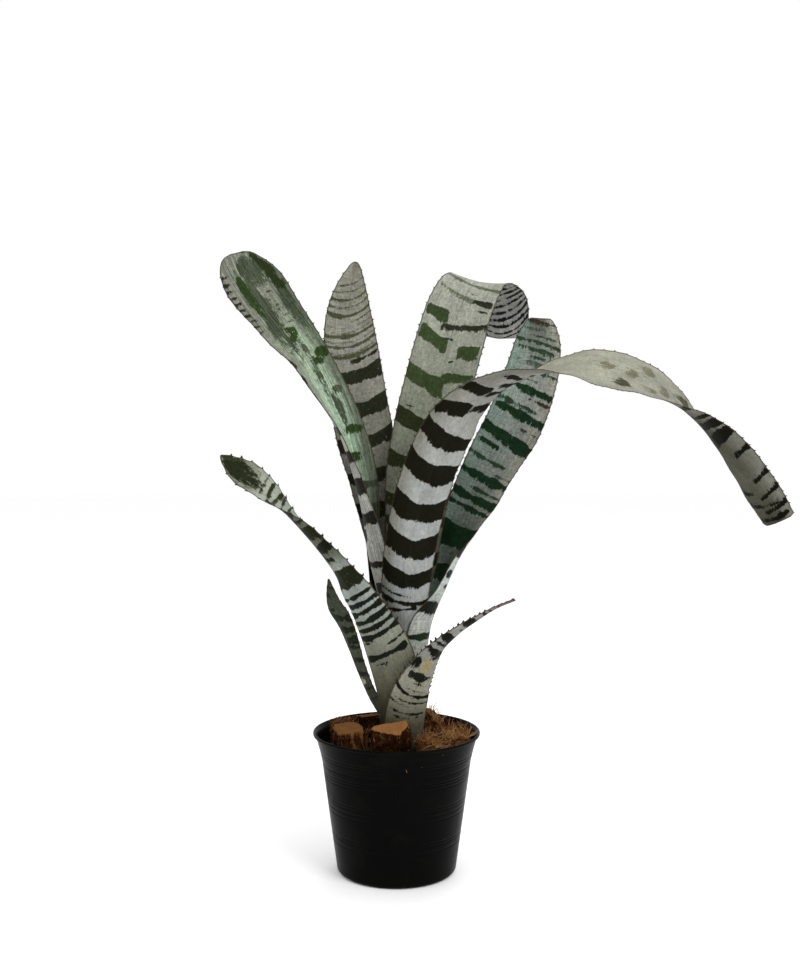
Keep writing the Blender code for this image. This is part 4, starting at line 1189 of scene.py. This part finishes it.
def husk_finish(node_name, torn):
    """Husk: kind 0 is a torn side, 1 a sawn face, and 2 to 3 a stray fibre, pale or dark."""
    material, shader = new_material("husk_" + node_name, 0.9, 0.02)
    tree = material.node_tree
    place = add_node(tree, "ShaderNodeAttribute", attribute_name="place").outputs["Vector"]
    kind = add_node(tree, "ShaderNodeAttribute", attribute_name="kind").outputs["Fac"]
    stripe = cloud(tree, stretched(tree, place, (1.1, 1.1, 0.05)), 1, 4)
    pith = cloud(tree, place, 0.9, 5)
    bloom = use_group(tree, patches, {
        "Place": place, "Patch Scale": 0.12, "Low": 0.42, "High": 0.62}).outputs["Mask"]
    pale = eased(tree, stripe, 0.60 - 0.16 * torn, 0.72 - 0.04 * torn)
    dark = mix_colours(tree, pith, (0.006, 0.002, 0.001), (0.018, 0.005, 0.002))
    reddish = mix_colours(tree, bloom, dark, (
        0.012 + 0.08 * torn, 0.004 + 0.032 * torn, 0.001 + 0.009 * torn))
    torn_side = mix_colours(tree, pale, reddish, (0.19, 0.085, 0.030))
    face_tone = 1.35 if node_name == "front_chip" else 0.85         # the front chip's sawn face is made paler than the other chips'
    low, high, worn = (tuple(face_tone * c for c in colour) for colour in (
        (0.05, 0.019, 0.006), (0.23, 0.11, 0.038), (0.17, 0.075, 0.024)))
    face = mix_colours(tree, bloom, mix_colours(tree, pith, low, high), worn)
    thread = mix_colours(tree, eased(tree, kind, 2.0, 2.9), (0.36, 0.21, 0.09),
                         (0.10, 0.035, 0.011))
    husk = mix_colours(tree, eased(tree, kind, 0.25, 0.6), torn_side, face)
    colour = mix_colours(tree, eased(tree, kind, 1.4, 1.5), husk, thread)
    both = math_node(tree, "ADD", stripe, pith)
    finish_skin(tree, shader, colour, both, 0.7, 0.0006)
    return material


for number, chip_name in enumerate(CHIP_GRAIN):
    husk_chip(chip_name, 40 + number)


# ---------------------------------------------------------------- loose husk fibre
# Fine fibre and crumbs that rubbed off the chips fill the gaps between them, and a few long
# pale straws stand against the pot's inner wall on the right.

STRAND_COUNT, STRAND_REACH = 520, 60
CRUMB_COUNT, CRUMB_REACH = 420, 63
POT_INSIDE = 66                       # fibres stay within this radius, mm
STRAW_HIGH = 126.5                    # straws stay below this height, just under the pot's rim
STRAWS = ((45, 30, -0.1, 17), (52, 27, 0.2, 14), (58, 19, -0.15, 18), (61, 10, 0.1, 15),
          (64, 2, 0.12, 14), (50, 35, 0.3, 12), (38, 44, -0.3, 13), (62, -12, 0.05, 10))
CRUMB = [(0, 0, 1), (0.9, 0, 0.2), (0.1, 0.8, 0.3), (-0.9, 0.2, 0.1), (0, -0.9, 0.2),
         (0.1, 0, -0.8)]
CRUMB_FACES = [(0, 1, 2), (0, 2, 3), (0, 3, 4), (0, 4, 1), (5, 2, 1), (5, 3, 2), (5, 4, 3),
               (5, 1, 4)]
MIX_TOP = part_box("potting_mix")[1].z / MM

chance = np.random.default_rng(7)
litter_points, litter_faces, litter_kind = [], [], []


def add_litter(points, faces, kind):
    """Adds one fibre or crumb to the loose litter."""
    base = sum(len(p) for p in litter_points)
    litter_points.append(points)
    litter_faces.extend(tuple(base + v for v in face) for face in faces)
    litter_kind.append(np.full(len(points), kind))


for _ in range(STRAND_COUNT):
    bearing, far = chance.uniform(0, tau), STRAND_REACH * chance.uniform(0.05, 1) ** 0.6
    start = np.array([far * cos(bearing), far * sin(bearing), MIX_TOP + chance.uniform(0.6, 9)])
    tangle = np.clip((start[0] + 5) / 20, 0.25, 1)                 # thicker on the right
    start[2] = MIX_TOP + (start[2] - MIX_TOP) * tangle
    heading = chance.uniform(0, tau)
    way = np.array([cos(heading), sin(heading), chance.uniform(-0.1, 0.35)])
    curl = chance.normal(0, 0.3, 3)
    steps = np.linspace(0, 1, 6)[:, None]
    line = start + chance.uniform(6, 17) * (steps * way + steps ** 2 * curl)
    line[:, 2] = np.clip(line[:, 2], MIX_TOP + 0.4, MIX_TOP + 20 * tangle)
    reach = np.hypot(line[:, 0], line[:, 1])
    line[:, :2] *= np.minimum(1, POT_INSIDE / reach)[:, None]
    add_litter(*strand(line, chance.uniform(0.12, 0.28)), 2 + chance.uniform(0, 0.9))
for x, y, lean, tall in STRAWS:
    steps = np.linspace(0, 1, 7)[:, None]
    line = np.array([x, y, MIX_TOP + 2]) + tall * (
        steps * np.array([lean, 0.05, 1]) + steps ** 2 * np.array([0.16, 0.1, -0.1]))
    line[:, 2] = np.minimum(line[:, 2], STRAW_HIGH)
    add_litter(*strand(line, 0.28), 2.05)

for _ in range(CRUMB_COUNT):
    bearing, far = chance.uniform(0, tau), CRUMB_REACH * chance.uniform(0.02, 1) ** 0.5
    middle = np.array([far * cos(bearing), far * sin(bearing), MIX_TOP + chance.uniform(0.2, 4)])
    lump = np.array(CRUMB) * chance.uniform(0.8, 1.2, (6, 3)) * chance.uniform(0.8, 2.6, 3)
    add_litter(middle + lump, CRUMB_FACES, chance.choice((0.0, 0.0, 1.0)))

litter = bpy.data.meshes.new("loose_husk")
litter.from_pydata((np.vstack(litter_points) * MM).tolist(), [], litter_faces)
mark_points(litter, place=np.vstack(litter_points), kind=np.concatenate(litter_kind))
litter.update()
add_piece("loose_husk", litter, husk_finish("loose", 0.8), "husk")


# ---------------------------------------------------------------- studio
# A plain pale floor in a white room, a large soft light from the front right, a weaker one from
# the left and one from behind. The camera stands a little above the middle of the plant and
# looks slightly down.

FLOOR = 6                             # half of the floor's side, m
floor_mesh = bpy.data.meshes.new("floor")
floor_mesh.from_pydata([(-FLOOR, -FLOOR, 0), (FLOOR, -FLOOR, 0), (FLOOR, FLOOR, 0),
                        (-FLOOR, FLOOR, 0)], [], [(0, 1, 2, 3)])
floor_paint, floor_shader = new_material("pale_floor", 0.8, 0.2)
floor_tree = floor_paint.node_tree
floor_place = add_node(floor_tree, "ShaderNodeTexCoord").outputs["Object"]
floor_tree.links.new(
    mix_colours(floor_tree, cloud(floor_tree, floor_place, 3, 4), (0.985, 0.985, 0.985),
                (0.997, 0.997, 0.995)), floor_shader.inputs["Base Color"])
floor = bpy.data.objects.new("floor", floor_mesh)
floor_mesh.materials.append(floor_paint)
bpy.context.scene.collection.objects.link(floor)

room = bpy.data.worlds.new("white_room")
bpy.context.scene.world = room
room.use_nodes = True
room_light = room.node_tree.nodes["Background"]
room_light.inputs["Color"].default_value = (1, 1, 1, 1)

LIGHTS = {                            # where each stands (m), its power (W) and its side (m)
    "key": ((0.9, -1.1, 1.3), 15, 0.9), "fill": ((-1.3, -0.9, 0.8), 2, 1.2),
    "rim": ((0.3, 1.3, 1.2), 6, 1.0),
}
TARGET = Vector((0.02, 0, 0.28))
for light_name, (where, power, breadth) in LIGHTS.items():
    light = bpy.data.lights.new(light_name, "AREA")
    light.energy = power
    light.size = breadth
    lamp = bpy.data.objects.new(light_name, light)
    lamp.location = where
    lamp.rotation_euler = (TARGET - lamp.location).to_track_quat("-Z", "Y").to_euler()
    bpy.context.scene.collection.objects.link(lamp)

CAMERA_RIGHT, CAMERA_AWAY, CAMERA_HEIGHT = 0.00316, 1.124, 0.408
LOOK_DOWN = 2.62                      # degrees
LENS = 46.65                          # focal length, mm
lens = bpy.data.cameras.new("camera")
lens.lens = LENS
lens.sensor_width = 36
lens.clip_end = 30
camera = bpy.data.objects.new("camera", lens)
camera.location = (CAMERA_RIGHT, -CAMERA_AWAY, CAMERA_HEIGHT)
camera.rotation_euler = (radians(90 - LOOK_DOWN), 0, 0)
bpy.context.scene.collection.objects.link(camera)
bpy.context.scene.camera = camera
bpy.context.scene.view_settings.view_transform = "Standard"
